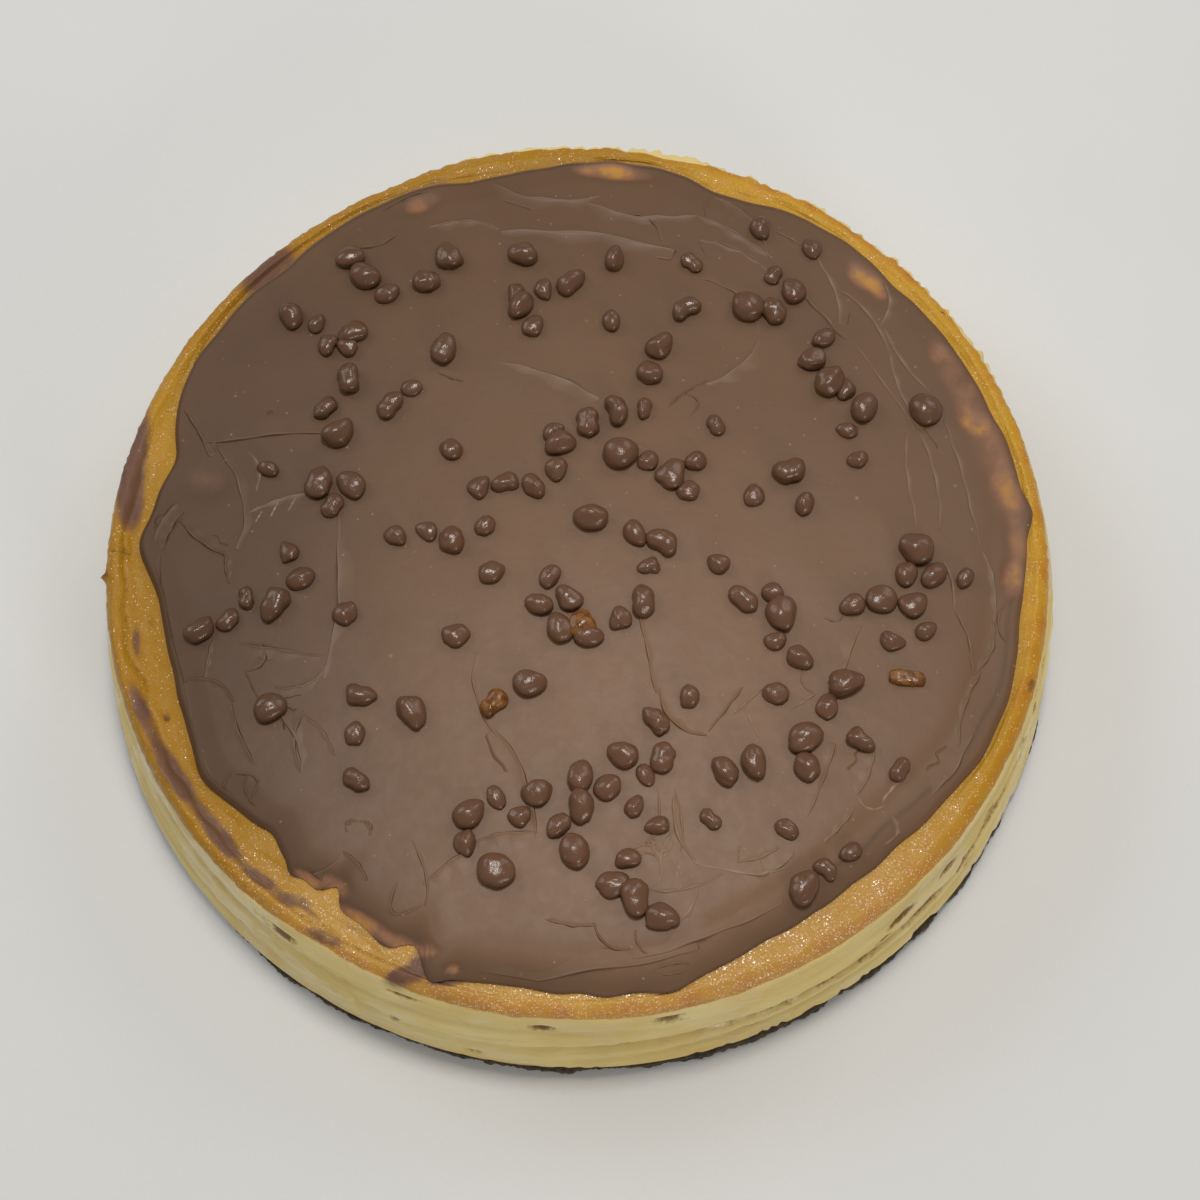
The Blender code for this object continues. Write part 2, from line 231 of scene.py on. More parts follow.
def closed_bodies(name, rings, look, masks=None):
    """One mesh of closed bodies from rings of points, (bodies, rings, points on a ring, 3).

    The first and the last ring of a body are drawn in to a point at their middle. Seen against
    the way the rings go, each runs anticlockwise, so that the faces point outwards. A mask has
    one value for each point, and becomes an attribute that the material reads.
    """
    bodies, count, sides, _ = rings.shape

    def flat(values):
        first, last = values[:, :1].mean(axis=2), values[:, -1:].mean(axis=2)
        inner = values[:, 1:-1].reshape(bodies, (count - 2) * sides, -1)
        return np.concatenate([first, inner, last], axis=1).reshape(-1, values.shape[-1])

    points = flat(rings)
    step = np.arange(sides)
    after = (step + 1) % sides
    low = 1 + sides * np.arange(count - 3)[:, None]
    quads = np.stack([low + step, low + after, low + sides + after, low + sides + step], axis=-1)
    crown = 1 + sides * (count - 3)
    bottom = np.stack([np.zeros_like(step), 1 + after, 1 + step], axis=-1)
    top = np.stack([crown + step, crown + after, np.full_like(step, crown + sides)], axis=-1)
    shift = (len(points) // bodies) * np.arange(bodies)
    corners = np.concatenate([
        (quads.reshape(1, -1) + shift[:, None]).ravel(),
        (np.concatenate([bottom, top]).reshape(1, -1) + shift[:, None]).ravel()])
    lengths = np.concatenate([np.full(bodies * quads[..., 0].size, 4), np.full(bodies * 2 * sides, 3)])
    mesh = bpy.data.meshes.new(name)
    mesh.vertices.add(len(points))
    mesh.vertices.foreach_set("co", points.astype(np.float32).ravel())
    mesh.loops.add(len(corners))
    mesh.loops.foreach_set("vertex_index", corners.astype(np.int32))
    mesh.polygons.add(len(lengths))
    mesh.polygons.foreach_set("loop_start", (np.cumsum(lengths) - lengths).astype(np.int32))
    mesh.update(calc_edges=True)
    mesh.shade_smooth()
    mesh.materials.append(look)
    for title, values in (masks or {}).items():
        mask = mesh.attributes.new(title, "FLOAT", "POINT")
        mask.data.foreach_set("value", flat(values[..., None]).astype(np.float32).ravel())
    made = bpy.data.objects.new(name, mesh)
    bpy.context.scene.collection.objects.link(made)
    return made


def circle(sides):
    """Angles from +X anticlockwise, evenly round."""
    return np.linspace(0.0, 2.0 * math.pi, sides, endpoint=False)


def around(angle, radius, height):
    """Points from angles, radii and heights that are numbers or arrays."""
    return np.stack(np.broadcast_arrays(radius * np.cos(angle), radius * np.sin(angle), height), axis=-1)


def turn_from(angle, degrees):
    """How far an angle is from a direction, in radians, the short way round."""
    return (angle - math.radians(degrees) + math.pi) % (2.0 * math.pi) - math.pi


def swells(points, wavelength, seed, waves=14):
    """Soft random relief with an average swing of 1: plane waves of about one length, added up,
    each in its own seeded direction and phase."""
    draw = np.random.default_rng(seed)
    total = np.zeros(points.shape[:-1])
    for _ in range(waves):
        heading = draw.normal(size=points.shape[-1])
        heading *= 2.0 * math.pi / (np.linalg.norm(heading) * wavelength * draw.uniform(0.7, 1.4))
        total += np.sin(points @ heading + draw.uniform(0.0, 2.0 * math.pi))
    return total / math.sqrt(0.5 * waves)


def ease(values, low, high):
    """0 below low, 1 above high, and a soft S between."""
    share = np.clip((values - low) / (high - low), 0.0, 1.0)
    return share * share * (3.0 - 2.0 * share)


def facing(angle, degrees, low, high):
    """1 towards a direction and 0 away from it: the cosine of the turn between them, eased from
    low to high."""
    return ease(np.cos(turn_from(angle, degrees)), low, high)


# Crumb: a height of 0 to 1 from rounded grains with a finer grit on them. Size is in metres.
crumb, given, out = new_group(
    "crumb", (("Vector", "NodeSocketVector", None), ("Size", "NodeSocketFloat", 0.001)), ("Height",))
fineness = sum_up(crumb, "DIVIDE", 1.0, given["Size"])
grains = put(crumb, "TexVoronoi", {"Vector": given["Vector"], "Scale": fineness, "Smoothness": 0.6},
             feature="SMOOTH_F1")
grit = put(crumb, "TexNoise", {"Vector": given["Vector"], "Detail": 3.0,
                               "Scale": sum_up(crumb, "MULTIPLY", fineness, 1.6)})
rounded = sum_up(crumb, "SUBTRACT", 1.0, grains.outputs["Distance"])
crumb.links.new(blend(crumb, 0.45, rounded, grit.outputs["Fac"]), out["Height"])

biscuit_look, tree, shader, position = new_look("pressed_biscuit", Specular_IOR_Level=0.35)
crumbs = from_group(tree, crumb, {"Vector": position, "Size": 0.8 * MM})["Height"]
specks = mottled(tree, position, 1.6 * MM, 0.8)
join_up(tree, shader, blend(tree, specks, BISCUIT_DARK, BISCUIT_LIGHT),
        spread_out(tree, specks, 0.0, 1.0, 0.55, 0.85), crumbs, 0.25 * MM)

angle = circle(BASE_SIDES)
ragged = BASE_RAGGEDNESS * np.sin(9 * angle) * np.sin(4 * angle + 1.0)
foot_line = around(angle, FOOT_RADIUS, 0.0 * angle)
loose, broad, fine, least, most = LOOSE_CRUMBS
loose = loose + broad * swells(foot_line, 15 * MM, 3) + fine * swells(foot_line, 3.4 * MM, 4)
loose = np.clip(loose, least, most) * (1.0 - 0.95 * facing(angle, TUCKED_UNDER, 0.78, 0.97))
edge = FOOT_RADIUS - BASE_STEP_BACK + ragged + loose
rise = np.linspace(0.0, 1.0, BASE_ROWS)[:, None]
worn = 0.6 * BASE_CORNER * np.clip(1.0 - rise * BASE_THICKNESS / BASE_CORNER, 0.0, 1.0) ** 2
wall = around(angle, edge - worn - 0.4 * BASE_CORNER * rise ** 3, BASE_THICKNESS * rise)
relief = CRUMB_RELIEF * (swells(wall, CRUMB_SIZE, 1) + 0.8 * swells(wall, 3.0 * CRUMB_SIZE, 2))
relief *= np.sin(math.pi * rise) ** 0.3
wall[..., :2] *= (1.0 + relief / FOOT_RADIUS)[..., None]
flat_below = [around(angle, share * edge, 0.0 * angle) for share in (0.0, 0.7)]
flat_above = [around(angle, share * edge, BASE_THICKNESS + 0.0 * angle) for share in (0.7, 0.0)]
biscuit_crumb = closed_bodies("biscuit_crumb", np.stack([*flat_below, *wall, *flat_above])[None],
                              biscuit_look)
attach(biscuit_crumb, "root")
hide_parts("biscuit_base")

# ---------------------------------------------------------------------------------------------
# Baked cheese. Cream cheese batter baked in a paper-lined tin: a pale wet side with the paper's
# creases in it, and a browned skin that rounds over the rim and stands up as a torn lip.
HEIGHT_OF_TOP = 41.8 * MM
CLEARANCE = 0.3 * MM
FOOT_ROUNDING = 1.6 * MM
SHOULDER_RADIUS = 133.4 * MM
SHOULDER_DROP = 4.2 * MM
RIM_OUTER_RADIUS = 131.8 * MM
LIP_RADIUS = 129.2 * MM
LIP_ROUNDING = 1.5 * MM
CREASE_HEIGHTS = (0.24, 0.50, 0.76)   # as shares of the side's height
CREASE_DEPTH = 1.25 * MM
CREASE_HALF_WIDTH = 0.060             # also
GASH_DEPTH = 3.2 * MM            # of the long brown gash in the side at the front right
NOTCH_DEPTH = 1.5 * MM           # of the ragged foot
NOTCH_HEIGHT = 2.0 * MM
FOLD_BULGE = 0.7 * MM
SIDE_WAVER = (0.6 * MM, 0.4 * MM)     # broad and narrow
# The lip's rise over the top and the valley behind it, in mm, at every 30 degrees from +X
LIP_RISE = (0.7, 0.8, 0.8, 0.7, 0.7, 1.3, 2.3, 2.3, 0.8, 0.4, 0.3, 0.5)
VALLEY_DEPTH = (0.2, 0.1, 0.0, 0.0, 0.1, 0.6, 1.0, 0.8, 0.3, 0.0, 0.0, 0.1)
# The chocolate's edge, in mm from the middle, at every 10 degrees from +X
SPREAD_EDGE = (
    126, 127, 126, 126, 125, 126, 126, 123, 127, 126, 124, 126,
    127, 127, 127, 126, 122, 120, 121, 117, 117, 120, 119, 119,
    122, 126, 126, 127, 127, 125, 122, 122, 123, 126, 126, 125)
CHEESE_SIDES = 600
SIDE_ROWS = 92
RIM_ROWS = 57
# Fine wrinkles of the paper: height as a share, depth in mm, half width as a share
WRINKLES = (
    (0.12, 0.25, 0.024), (0.33, 0.28, 0.026), (0.41, 0.18, 0.022), (0.60, 0.26, 0.026),
    (0.68, 0.20, 0.022), (0.86, 0.26, 0.024))
# Upright folds of the paper: angle in degrees, depth in mm
UPRIGHT_FOLDS = ((12, 0.4), (38, 0.5), (74, 0.4), (101, 0.6), (139, 0.4), (163, 0.5),
                 (197, 0.4), (221, 0.4), (244, 0.7), (289, 0.3), (322, 0.4), (349, 0.5))
# Brown pockets and spots: angle in degrees, height, half length and half height in mm, and how
# deep and dark they are
SPOTS = (
    (211, 37.0, 5, 1.6, 1.0), (234.4, 36.2, 4.6, 3.4, 2.0), (250, 37.3, 5, 1.5, 0.9),
    (233.6, 35.6, 12, 4.5, 0.0), (280, 35.6, 7, 4.0, 0.0), (266, 33.6, 7, 3.6, 0.0),
    (266, 34.5, 4, 1.8, 1.2), (280, 36.8, 4, 2.2, 1.2), (249, 19.4, 2, 1.4, 0.4),
    (345, 36.2, 2.6, 1.8, 0.6), (341, 37.5, 4, 2.2, 0.8), (340.6, 29, 2.2, 3.4, 0.8),
    (336, 24.5, 2.5, 5, 0.7), (330.6, 21, 3, 4, 0.7), (326.6, 25.5, 4, 2, 0.8), (318, 27, 5, 1.6, 1.0),
    (310, 27.5, 6, 1.6, 1.2), (307, 24, 4, 1.5, 0.8), (300, 15, 5, 1.5, 0.6), (322, 13, 4, 2, 0.6),
    (290, 12, 3, 1.2, 0.4), (258, 13, 3, 1.2, 0.4), (228, 16, 3, 1.4, 0.4), (203, 24, 2.5, 1.3, 0.4))
HIDDEN_SPOTS = 16                # more of the same, round the side that faces away
# Chocolate wiped over the rim, as soft ovals: degrees, mm from the middle, half length along the
# rim, half width, slant (mm outwards for each mm along the rim) and strength
SMEARS = (
    (136.0, 128.5, 11.0, 6.0, 0.0, 0.97), (169.0, 129.6, 18.0, 4.0, -0.11, 1.0),
    (174.0, 127.6, 9.0, 3.6, -0.10, 1.0), (193.5, 125.2, 5.5, 1.2, 0.10, 0.70),
    (203.0, 128.3, 9.5, 2.3, -0.03, 0.88), (212.0, 127.5, 12.5, 2.9, -0.04, 1.0),
    (221.5, 127.0, 11.0, 2.7, 0.02, 0.95), (229.0, 127.0, 6.5, 2.0, -0.10, 0.80),
    (233.6, 126.2, 5.5, 2.3, -0.30, 0.76), (236.6, 126.0, 3.6, 0.9, 0.10, 0.50),
    (239.6, 129.4, 6.0, 2.0, -0.10, 0.72), (242.0, 123.6, 9.0, 1.0, 0.02, 0.42),
    (249.9, 129.0, 5.2, 2.4, -0.50, 1.0), (251.3, 125.6, 5.8, 5.0, -0.95, 1.0),
    (254.5, 127.6, 5.0, 1.5, -0.25, 0.92),
    (110.0, 126.5, 5.0, 2.4, 0.0, 0.42))
# Small sunken pits in the rim, in the same way, with painted shade in them
RIM_PITS = (
    (204.5, 123.0, 1.5, 1.0, 0.0, 1.0), (184.0, 132.4, 1.8, 1.3, 0.0, 0.75),
    (34.0, 130.8, 0.8, 0.7, 0.0, 0.9), (191.2, 121.2, 2.0, 1.2, 0.0, 0.5),
    (340.8, 131.4, 2.8, 1.3, 0.0, 0.62))
# Directions round the cake, in degrees anticlockwise from +X
CRACK = 181.3                    # the rim is cracked across
LIP_STANDS_UP = 212
BAY_IN_CHOCOLATE = 240
TORN_SIDE = 318                  # the side is gashed and its foot is ragged
TORN_RIM = 49                    # the skin ends in small teeth
LEDGE = (72, 116)                # a ledge of skin begins in a step, and fades out again
SPIKES = ((66.5, 1.1), (184, 1.0))    # small spikes of skin, each with its half width in mm
SOFT_EDGED_RIM = 228             # the crust fades slowly into the pale side
GLINTING_RIM = 273                 # the crust has the most glints: painted pale dots that are glossy too
# The crust gets painted shade towards these, more towards the first
PAINTED_SHADE_RIM = (118, 312)
ORANGE_RIM = (285, 133)
YELLOW_RIM = (163, 45)
EVEN_SIDE = -14                  # the creases get hardly any painted shade
CHEESE_PALE = (0.77, 0.615, 0.265)
CHEESE_DEEP = (0.70, 0.515, 0.180)
CRUST_YELLOW = (0.58, 0.315, 0.022)
CRUST_ORANGE = (0.53, 0.205, 0.014)
CRUST_BROWN = (0.30, 0.110, 0.016)
# The crust in painted shade
CRUST_SHADE = (0.370, 0.178, 0.008)
# Painted glints, and the painted sheen where they lie thick
PAINTED_GLINT_PALE = (0.92, 0.68, 0.50)
# Olive painted shade in the side's creases
OLIVE_PAINTED_SHADE = (0.46, 0.345, 0.125)
# Brown of the pockets, also painted shade in hollows and notches, along the gash and at the foot
SPOT_AND_PAINTED_SHADE_BROWN = (0.188, 0.074, 0.013)
# Painted shade in the deep holes and pits
HOLE_PAINTED_SHADE = (0.042, 0.021, 0.007)
FILM_BROWN = (0.145, 0.069, 0.043)


def smooth_round(values, angle):
    """A closed smooth curve through evenly spaced values, read at an angle (Catmull-Rom)."""
    values = np.asarray(values, dtype=float)
    place = np.asarray(angle) / (2.0 * math.pi) * len(values)
    whole = np.floor(place).astype(int)
    part = place - whole
    before, here, after, beyond = (values[(whole + shift) % len(values)] for shift in (-1, 0, 1, 2))
    return here + 0.5 * part * (
        after - before
        + part * (2 * before - 5 * here + 4 * after - beyond
                  + part * (3 * (here - after) + beyond - before)))


def smooth_along(rows, place):
    """A smooth curve through a few rows of values, read at places from 0 to the last row."""
    rows = np.asarray(rows, dtype=float)
    whole = np.clip(np.floor(place).astype(int), 0, len(rows) - 2)
    part = (place - whole).reshape(-1, *[1] * (rows.ndim - 1))
    before, here, after, beyond = (rows[np.clip(whole + shift, 0, len(rows) - 1)]
                                   for shift in (-1, 0, 1, 2))
    return here + 0.5 * part * (
        after - before
        + part * (2 * before - 5 * here + 4 * after - beyond
                  + part * (3 * (here - after) + beyond - before)))


def side_radius(share, angle):
    """Radius of the side at a share of its height: it leans in, bulges in folds and is creased.

    The creases are Gaussian grooves whose height and depth waver round the cake, and the
    unevenness fades out at the foot and under the rim.
    """
    lean = FOOT_RADIUS + (SHOULDER_RADIUS - FOOT_RADIUS) * share
    broad, narrow = SIDE_WAVER
    waver = broad * np.sin(3 * angle + 0.6) + narrow * np.sin(7 * angle + 4.0 * share)
    fold = FOLD_BULGE * np.sin(math.pi * share) + 0.0 * angle
    for number, height in enumerate(CREASE_HEIGHTS):
        centre = height + 0.03 * np.sin(2 * angle + 2.1 * number)
        depth = CREASE_DEPTH * (0.65 + 0.35 * np.sin(4 * angle + 1.7 * number))
        fold = fold - depth * np.exp(-((share - centre) / CREASE_HALF_WIDTH) ** 2)
    fade = np.minimum(1.0, np.minimum(6.0 * share, 8.0 * (1.0 - share) + 0.2))
    return lean + (waver + fold) * fade


def paper_marks(share, angle):
    """What the paper pressed into the side: fine wrinkles that come and go, and upright folds."""
    marks = 0.0 * share * angle
    for number, (height, depth, half_width) in enumerate(WRINKLES):
        centre = (height + 0.035 * np.sin(2 * angle + 3.3 * number) + 0.020 * np.sin(5 * angle + number)
                  + 0.012 * np.sin(11 * angle + 2.2 * number))
        comes = ease(np.sin((3 + number % 4) * angle + 1.9 * number), 0.0, 0.8)
        marks = marks - depth * MM * comes * np.exp(-((share - centre) / half_width) ** 2)
    for number, (degrees, depth) in enumerate(UPRIGHT_FOLDS):
        leaning = turn_from(angle, degrees) * FOOT_RADIUS - 3.0 * MM * np.sin(3.0 * share + number)
        marks = marks - depth * MM * np.exp(-(leaning / (0.7 * MM)) ** 2) * np.sin(math.pi * share)
    return marks


def soft_ovals(angle, radius, ovals):
    """A mask of soft ovals that follow the rim: 1 less the product of 1 less each oval.

    An oval is its strength times e to the minus (along squared plus across squared) to the 1.8,
    with both distances as shares of its half length and half width.
    """
    clear = np.ones_like(radius)
    for degrees, place, half_length, half_width, slant, strength in ovals:
        along = turn_from(angle, degrees) * place
        across = radius / MM - place - slant * along
        clear = clear * (1.0 - strength * np.exp(
            -((along / half_length) ** 2 + (across / half_width) ** 2) ** 1.8))
    return 1.0 - clear


foot = BASE_THICKNESS + CLEARANCE
shoulder = HEIGHT_OF_TOP - SHOULDER_DROP
angle = circle(CHEESE_SIDES)
spread_edge = smooth_round(SPREAD_EDGE, angle) * MM
lip_rise = smooth_round(LIP_RISE, angle) * MM
valley = smooth_round(VALLEY_DEPTH, angle) * MM
lip_line = around(angle, LIP_RADIUS, 0.0 * angle)
ragged = swells(lip_line, 2.2 * MM, 11)
foot_line_of_cheese = around(angle, FOOT_RADIUS, 0.0 * angle)

# The side: its share of the height, radius and height, row by row
share = np.linspace(0.0, 1.0, SIDE_ROWS)[:, None]
side_height = foot + FOOT_ROUNDING + (shoulder - foot - FOOT_ROUNDING) * share + 0.0 * angle
side = side_radius(share, angle) + paper_marks(share, angle)
broken = facing(angle, TORN_SIDE, 0.55, 0.95)
uneven = swells(foot_line_of_cheese, 11 * MM, 16)
notch = (0.25 + 0.75 * broken) * ease(0.8 * uneven + 0.45 * ragged, 0.1, 1.5)
side = side - NOTCH_DEPTH * notch * np.exp(-(side_height - foot) / NOTCH_HEIGHT)
gash_height = 0.45 + 0.05 * np.sin(3 * angle) + 0.03 * swells(foot_line_of_cheese, 30 * MM, 18)
gash = broken * (0.45 + 0.55 * ease(uneven, -0.8, 0.8)) * np.exp(-((share - gash_height) / 0.055) ** 2)
side = side - GASH_DEPTH * gash
rounding = np.linspace(0.0, 0.5 * math.pi, 6)[1:-1, None]
foot_rows = around(angle, FOOT_RADIUS - FOOT_ROUNDING * (1.0 - np.sin(rounding)) - NOTCH_DEPTH * notch,
                   foot + FOOT_ROUNDING * (1.0 - np.cos(rounding)) + 0.0 * angle)

# The rim: a smooth curve over shoulder, outer edge, lip, valley and the chocolate's edge
at_left = facing(angle, LIP_STANDS_UP, 0.50, 0.90)
at_front_left = np.exp(-(turn_from(angle, BAY_IN_CHOCOLATE) / 0.17) ** 2)
corners = np.array([
    (side[-4], side_height[-4]), (side[-1], side_height[-1]),
    (RIM_OUTER_RADIUS + 0.0 * angle, HEIGHT_OF_TOP + lip_rise - LIP_ROUNDING),
    (LIP_RADIUS + 0.0 * angle, HEIGHT_OF_TOP + lip_rise),
    (0.5 * (spread_edge + LIP_RADIUS), HEIGHT_OF_TOP - valley + (0.50 - 0.35 * at_left) * lip_rise),
    (spread_edge, HEIGHT_OF_TOP - 0.6 * valley),
    (0.94 * spread_edge, HEIGHT_OF_TOP - 0.2 * valley)])
station = np.linspace(1.0, 5.0, RIM_ROWS)
rim_radius, rim_height = np.moveaxis(smooth_along(corners, station), 1, 0)
station = station[:, None] + 0.0 * angle

# The torn skin at the rim's outer edge: teeth at the back right, a ledge that begins in a step,
# and two spikes. The teeth are a saw of 47 round the cake, unevenly spaced and unevenly high.
torn = facing(angle, TORN_RIM, 0.78, 0.93)
teeth = (angle * 47 / (2.0 * math.pi) + 0.5 * np.sin(11 * angle) + 0.3 * np.sin(23 * angle)) % 1.0
teeth = teeth * (0.45 + 0.55 * ease(swells(lip_line, 7 * MM, 22), -0.8, 0.8))
past_step, past_end = (turn_from(angle, degrees) for degrees in LEDGE)
ledge = ease(past_step * LIP_RADIUS, 0.0, 0.4 * MM) * ease(-past_end, 0.0, 0.25)
spike, left_spike = (np.exp(-(turn_from(angle, degrees) * LIP_RADIUS / (half_width * MM)) ** 2)
                     for degrees, half_width in SPIKES)
tear = (torn * (0.9 * teeth * (1.0 - 0.8 * ledge) + 0.30 * ragged) + 0.12 * ragged
        + ledge * (1.5 + 0.30 * ragged) + 2.0 * spike + 1.6 * left_spike)
rim_radius = rim_radius + tear * MM * np.exp(-((station - 1.75) / 0.45) ** 2)
rim_skin = around(angle, rim_radius, rim_height)
inside = ease(station, 1.2, 1.9) * (1.0 - ease(station, 4.3, 4.95))
from_crack = turn_from(angle, CRACK) * LIP_RADIUS + 0.5 * MM * np.sin(2.5 * station)
crack = np.exp(-(from_crack / (0.42 * MM)) ** 2)
lip_crease = at_left * np.exp(-((station - 3.5 - 0.12 * np.sin(9 * angle) - 0.10 * uneven) / 0.13) ** 2)
lumps = 0.24 * swells(rim_skin, 11 * MM, 12) + 0.08 * swells(rim_skin, 3.4 * MM, 13)
rim_skin[..., 2] += MM * inside * (lumps - 0.9 * crack - 0.55 * lip_crease)

# Brown pockets: each is a soft oval, deepest in the middle. Brown without depth is painted shade
# in the hollows, in the notches and along the foot, and along the gash it is brown that is partly
# painted shade in the groove.
draw = np.random.default_rng(21)
hidden = np.stack([draw.uniform(8, 188, HIDDEN_SPOTS), draw.uniform(9, 37, HIDDEN_SPOTS),
                   draw.uniform(2, 6, HIDDEN_SPOTS), draw.uniform(1, 2.4, HIDDEN_SPOTS),
                   draw.uniform(0.4, 1.2, HIDDEN_SPOTS)], axis=-1)
pockets_and_painted_shade = np.zeros_like(side)
for degrees, height, half_length, half_height, depth in (*SPOTS, *hidden):
    across = turn_from(angle, degrees) * FOOT_RADIUS / (half_length * MM)
    up = (side_height - height * MM) / (half_height * MM)
    pockets_and_painted_shade = np.maximum(pockets_and_painted_shade, min(1.0, 0.45 + 0.5 * depth) * np.exp(-(across ** 2 + up ** 2)))
side = side - 1.1 * MM * pockets_and_painted_shade ** 2
side_skin = around(angle, side, side_height)
side_skin[..., :2] *= (1.0 + 0.10 * MM * swells(side_skin, 5 * MM, 14)
                       * np.sin(math.pi * share) / FOOT_RADIUS)[..., None]
patchy = ease(swells(side_skin * (1.0, 1.0, 2.5), 26 * MM, 17), 0.3, 1.5)
hollow = ease(side_radius(share, angle) - side, 0.15 * MM, 1.2 * MM)
gash_band = ease(swells(side_skin, 8 * MM, 19), -0.9, 0.9) * np.exp(-((share - gash_height) / 0.065) ** 2)
dark_foot = (0.45 + 0.40 * ease(uneven, -0.5, 1.0)) * np.exp(-((side_height - foot) / (1.6 * MM)) ** 2)
for darkening in (0.55 * patchy * hollow, 0.95 * broken * gash_band, dark_foot,
              0.80 * notch * np.exp(-(side_height - foot) / (0.9 * NOTCH_HEIGHT))):
    pockets_and_painted_shade = np.maximum(pockets_and_painted_shade, darkening)

# Masks. Crust goes from 0 on the pale side to 1 on the browned rim, and is torn back where the
# skin is torn. Toast goes from yellow at 0 to orange brown at 1, and shade is painted shade that
# deepens both, at the left and the back where less light falls and a little at the front right.
# Sparkle is how much of the crust glints, with painted pale glints and a painted sheen, and smear
# is 1 where chocolate was wiped over it. Pit is 1 in the small pits, and less in the crack and in
# the crease of the lip, where it paints shade.
crust_start = 1.60 + 0.03 * ragged + 0.06 * uneven + 0.50 * torn + 0.45 * ledge + 0.55 * at_front_left
blurred = 0.22 + 0.30 * facing(angle, SOFT_EDGED_RIM, 0.5, 0.95)
crust = (station - crust_start) / blurred + 0.5
toast = 0.12 + (0.42 + 0.25 * at_left) * np.exp(-((station - 2.25) / 0.70) ** 2)
toast = toast + 0.14 * facing(angle, ORANGE_RIM[0], 0.2, 0.9) * (1.0 - ease(station, 3.5, 4.6))
toast = toast + 0.38 * np.exp(-(turn_from(angle, ORANGE_RIM[1]) / 0.26) ** 2) - 0.35 * np.exp(
    -(turn_from(angle, YELLOW_RIM[0]) / 0.16) ** 2)
toast = toast + 0.12 * swells(rim_skin, 9 * MM, 15) - 0.12 * at_front_left
toast = toast - 0.04 * facing(angle, YELLOW_RIM[1], 0.5, 0.9)
# Where painted glints lie thick: most towards the front, where the light catches the crust
glinting = facing(angle, GLINTING_RIM, 0.50, 0.92)
at_back = facing(angle, PAINTED_SHADE_RIM[0], 0.60, 0.92)
shade = 0.06 + 0.88 * at_left + 0.80 * at_back - 0.45 * at_front_left + 0.0 * station
shade = shade + 0.40 * facing(angle, PAINTED_SHADE_RIM[1], 0.70, 0.95)
shade = np.clip(shade, 0.0, 1.0)
sparkle = 0.24 + 0.76 * np.maximum(glinting, 0.18 * at_front_left) - 0.06 * at_left + 0.0 * station
from_middle = np.hypot(rim_skin[..., 0], rim_skin[..., 1])
smear = soft_ovals(angle + 0.0 * station, from_middle, SMEARS)
pit = soft_ovals(angle + 0.0 * station, from_middle, RIM_PITS)
rim_skin[..., 2] -= 0.7 * MM * pit * inside
pit = np.maximum(pit, np.maximum(0.70 * crack, 0.42 * lip_crease) * inside)

floor_of_top = [around(angle, spread_edge * shrink, HEIGHT_OF_TOP - valley * dip)
                for shrink, dip in ((0.94, 0.2), (0.5, 0.0), (0.0, 0.0))]
underside = [around(angle, radius, foot + 0.0 * angle)
             for radius in (0.0, 0.6 * FOOT_RADIUS, FOOT_RADIUS - FOOT_ROUNDING)]
cheese_rings = np.stack([*underside, *foot_rows, *side_skin, *rim_skin[1:], *floor_of_top])[None]


def over_the_cheese(low_value, side_values, rim_values, top_value):
    """A mask for all rows of the cheese from its values on the side and on the rim."""
    start = np.full((len(underside) + len(foot_rows), CHEESE_SIDES), low_value)
    end = np.full((len(floor_of_top), CHEESE_SIDES), top_value)
    return np.concatenate([start, side_values, rim_values[1:], end])[None]


# Fold is up to 1 in the creases of the side, where it paints olive shade. The last mask holds the
# brown pockets and painted shade in the hollows, notches, holes, pits and crack and at the foot.
nothing_at_side = np.zeros_like(side)
painted_crease_shade = ease(FOOT_RADIUS + (SHOULDER_RADIUS - FOOT_RADIUS) * share + 0.3 * MM - side, 0.0, 1.6 * MM)
crease_shade_share = 1.0 - 0.90 * facing(angle, EVEN_SIDE, 0.75, 0.98)
cheese_masks = {
    "crust": over_the_cheese(-1.0, nothing_at_side - 1.0 + 1.0 * ease(share, 0.9, 1.0), crust, 2.0),
    "toast": over_the_cheese(0.0, nothing_at_side + toast[0], toast, 0.3),
    "shade": over_the_cheese(0.0, nothing_at_side + shade[0], shade, 0.3),
    "sparkle": over_the_cheese(0.0, nothing_at_side + sparkle[0], sparkle, 0.3),
    "smear": over_the_cheese(0.0, nothing_at_side + smear[0] * ease(share, 0.9, 1.0), smear, 0.0),
    "fold": over_the_cheese(0.0, painted_crease_shade * crease_shade_share * ease(share, 0.02, 0.08), 0.0 * station, 0.0),
    "pockets_and_painted_shade": over_the_cheese(0.85, pockets_and_painted_shade, pit, 0.0)}

# Hairlines: thin curving lines of 0 to 1, where a soft noise crosses its middle value. Size is
# in metres, and width is a share of it.
hairlines, given, out = new_group(
    "hairlines", (("Vector", "NodeSocketVector", None), ("Size", "NodeSocketFloat", 0.01),
                  ("Width", "NodeSocketFloat", 0.01)), ("Line",))
bend = put(hairlines, "TexNoise", {"Vector": given["Vector"], "Detail": 1.0,
                                   "Scale": sum_up(hairlines, "DIVIDE", 1.0, given["Size"])})
off_middle = sum_up(hairlines, "ABSOLUTE", sum_up(hairlines, "SUBTRACT", bend.outputs["Fac"], 0.5))
near = sum_up(hairlines, "DIVIDE", off_middle, given["Width"])
hairlines.links.new(spread_out(hairlines, near, 0.0, 1.0, 1.0, 0.0), out["Line"])

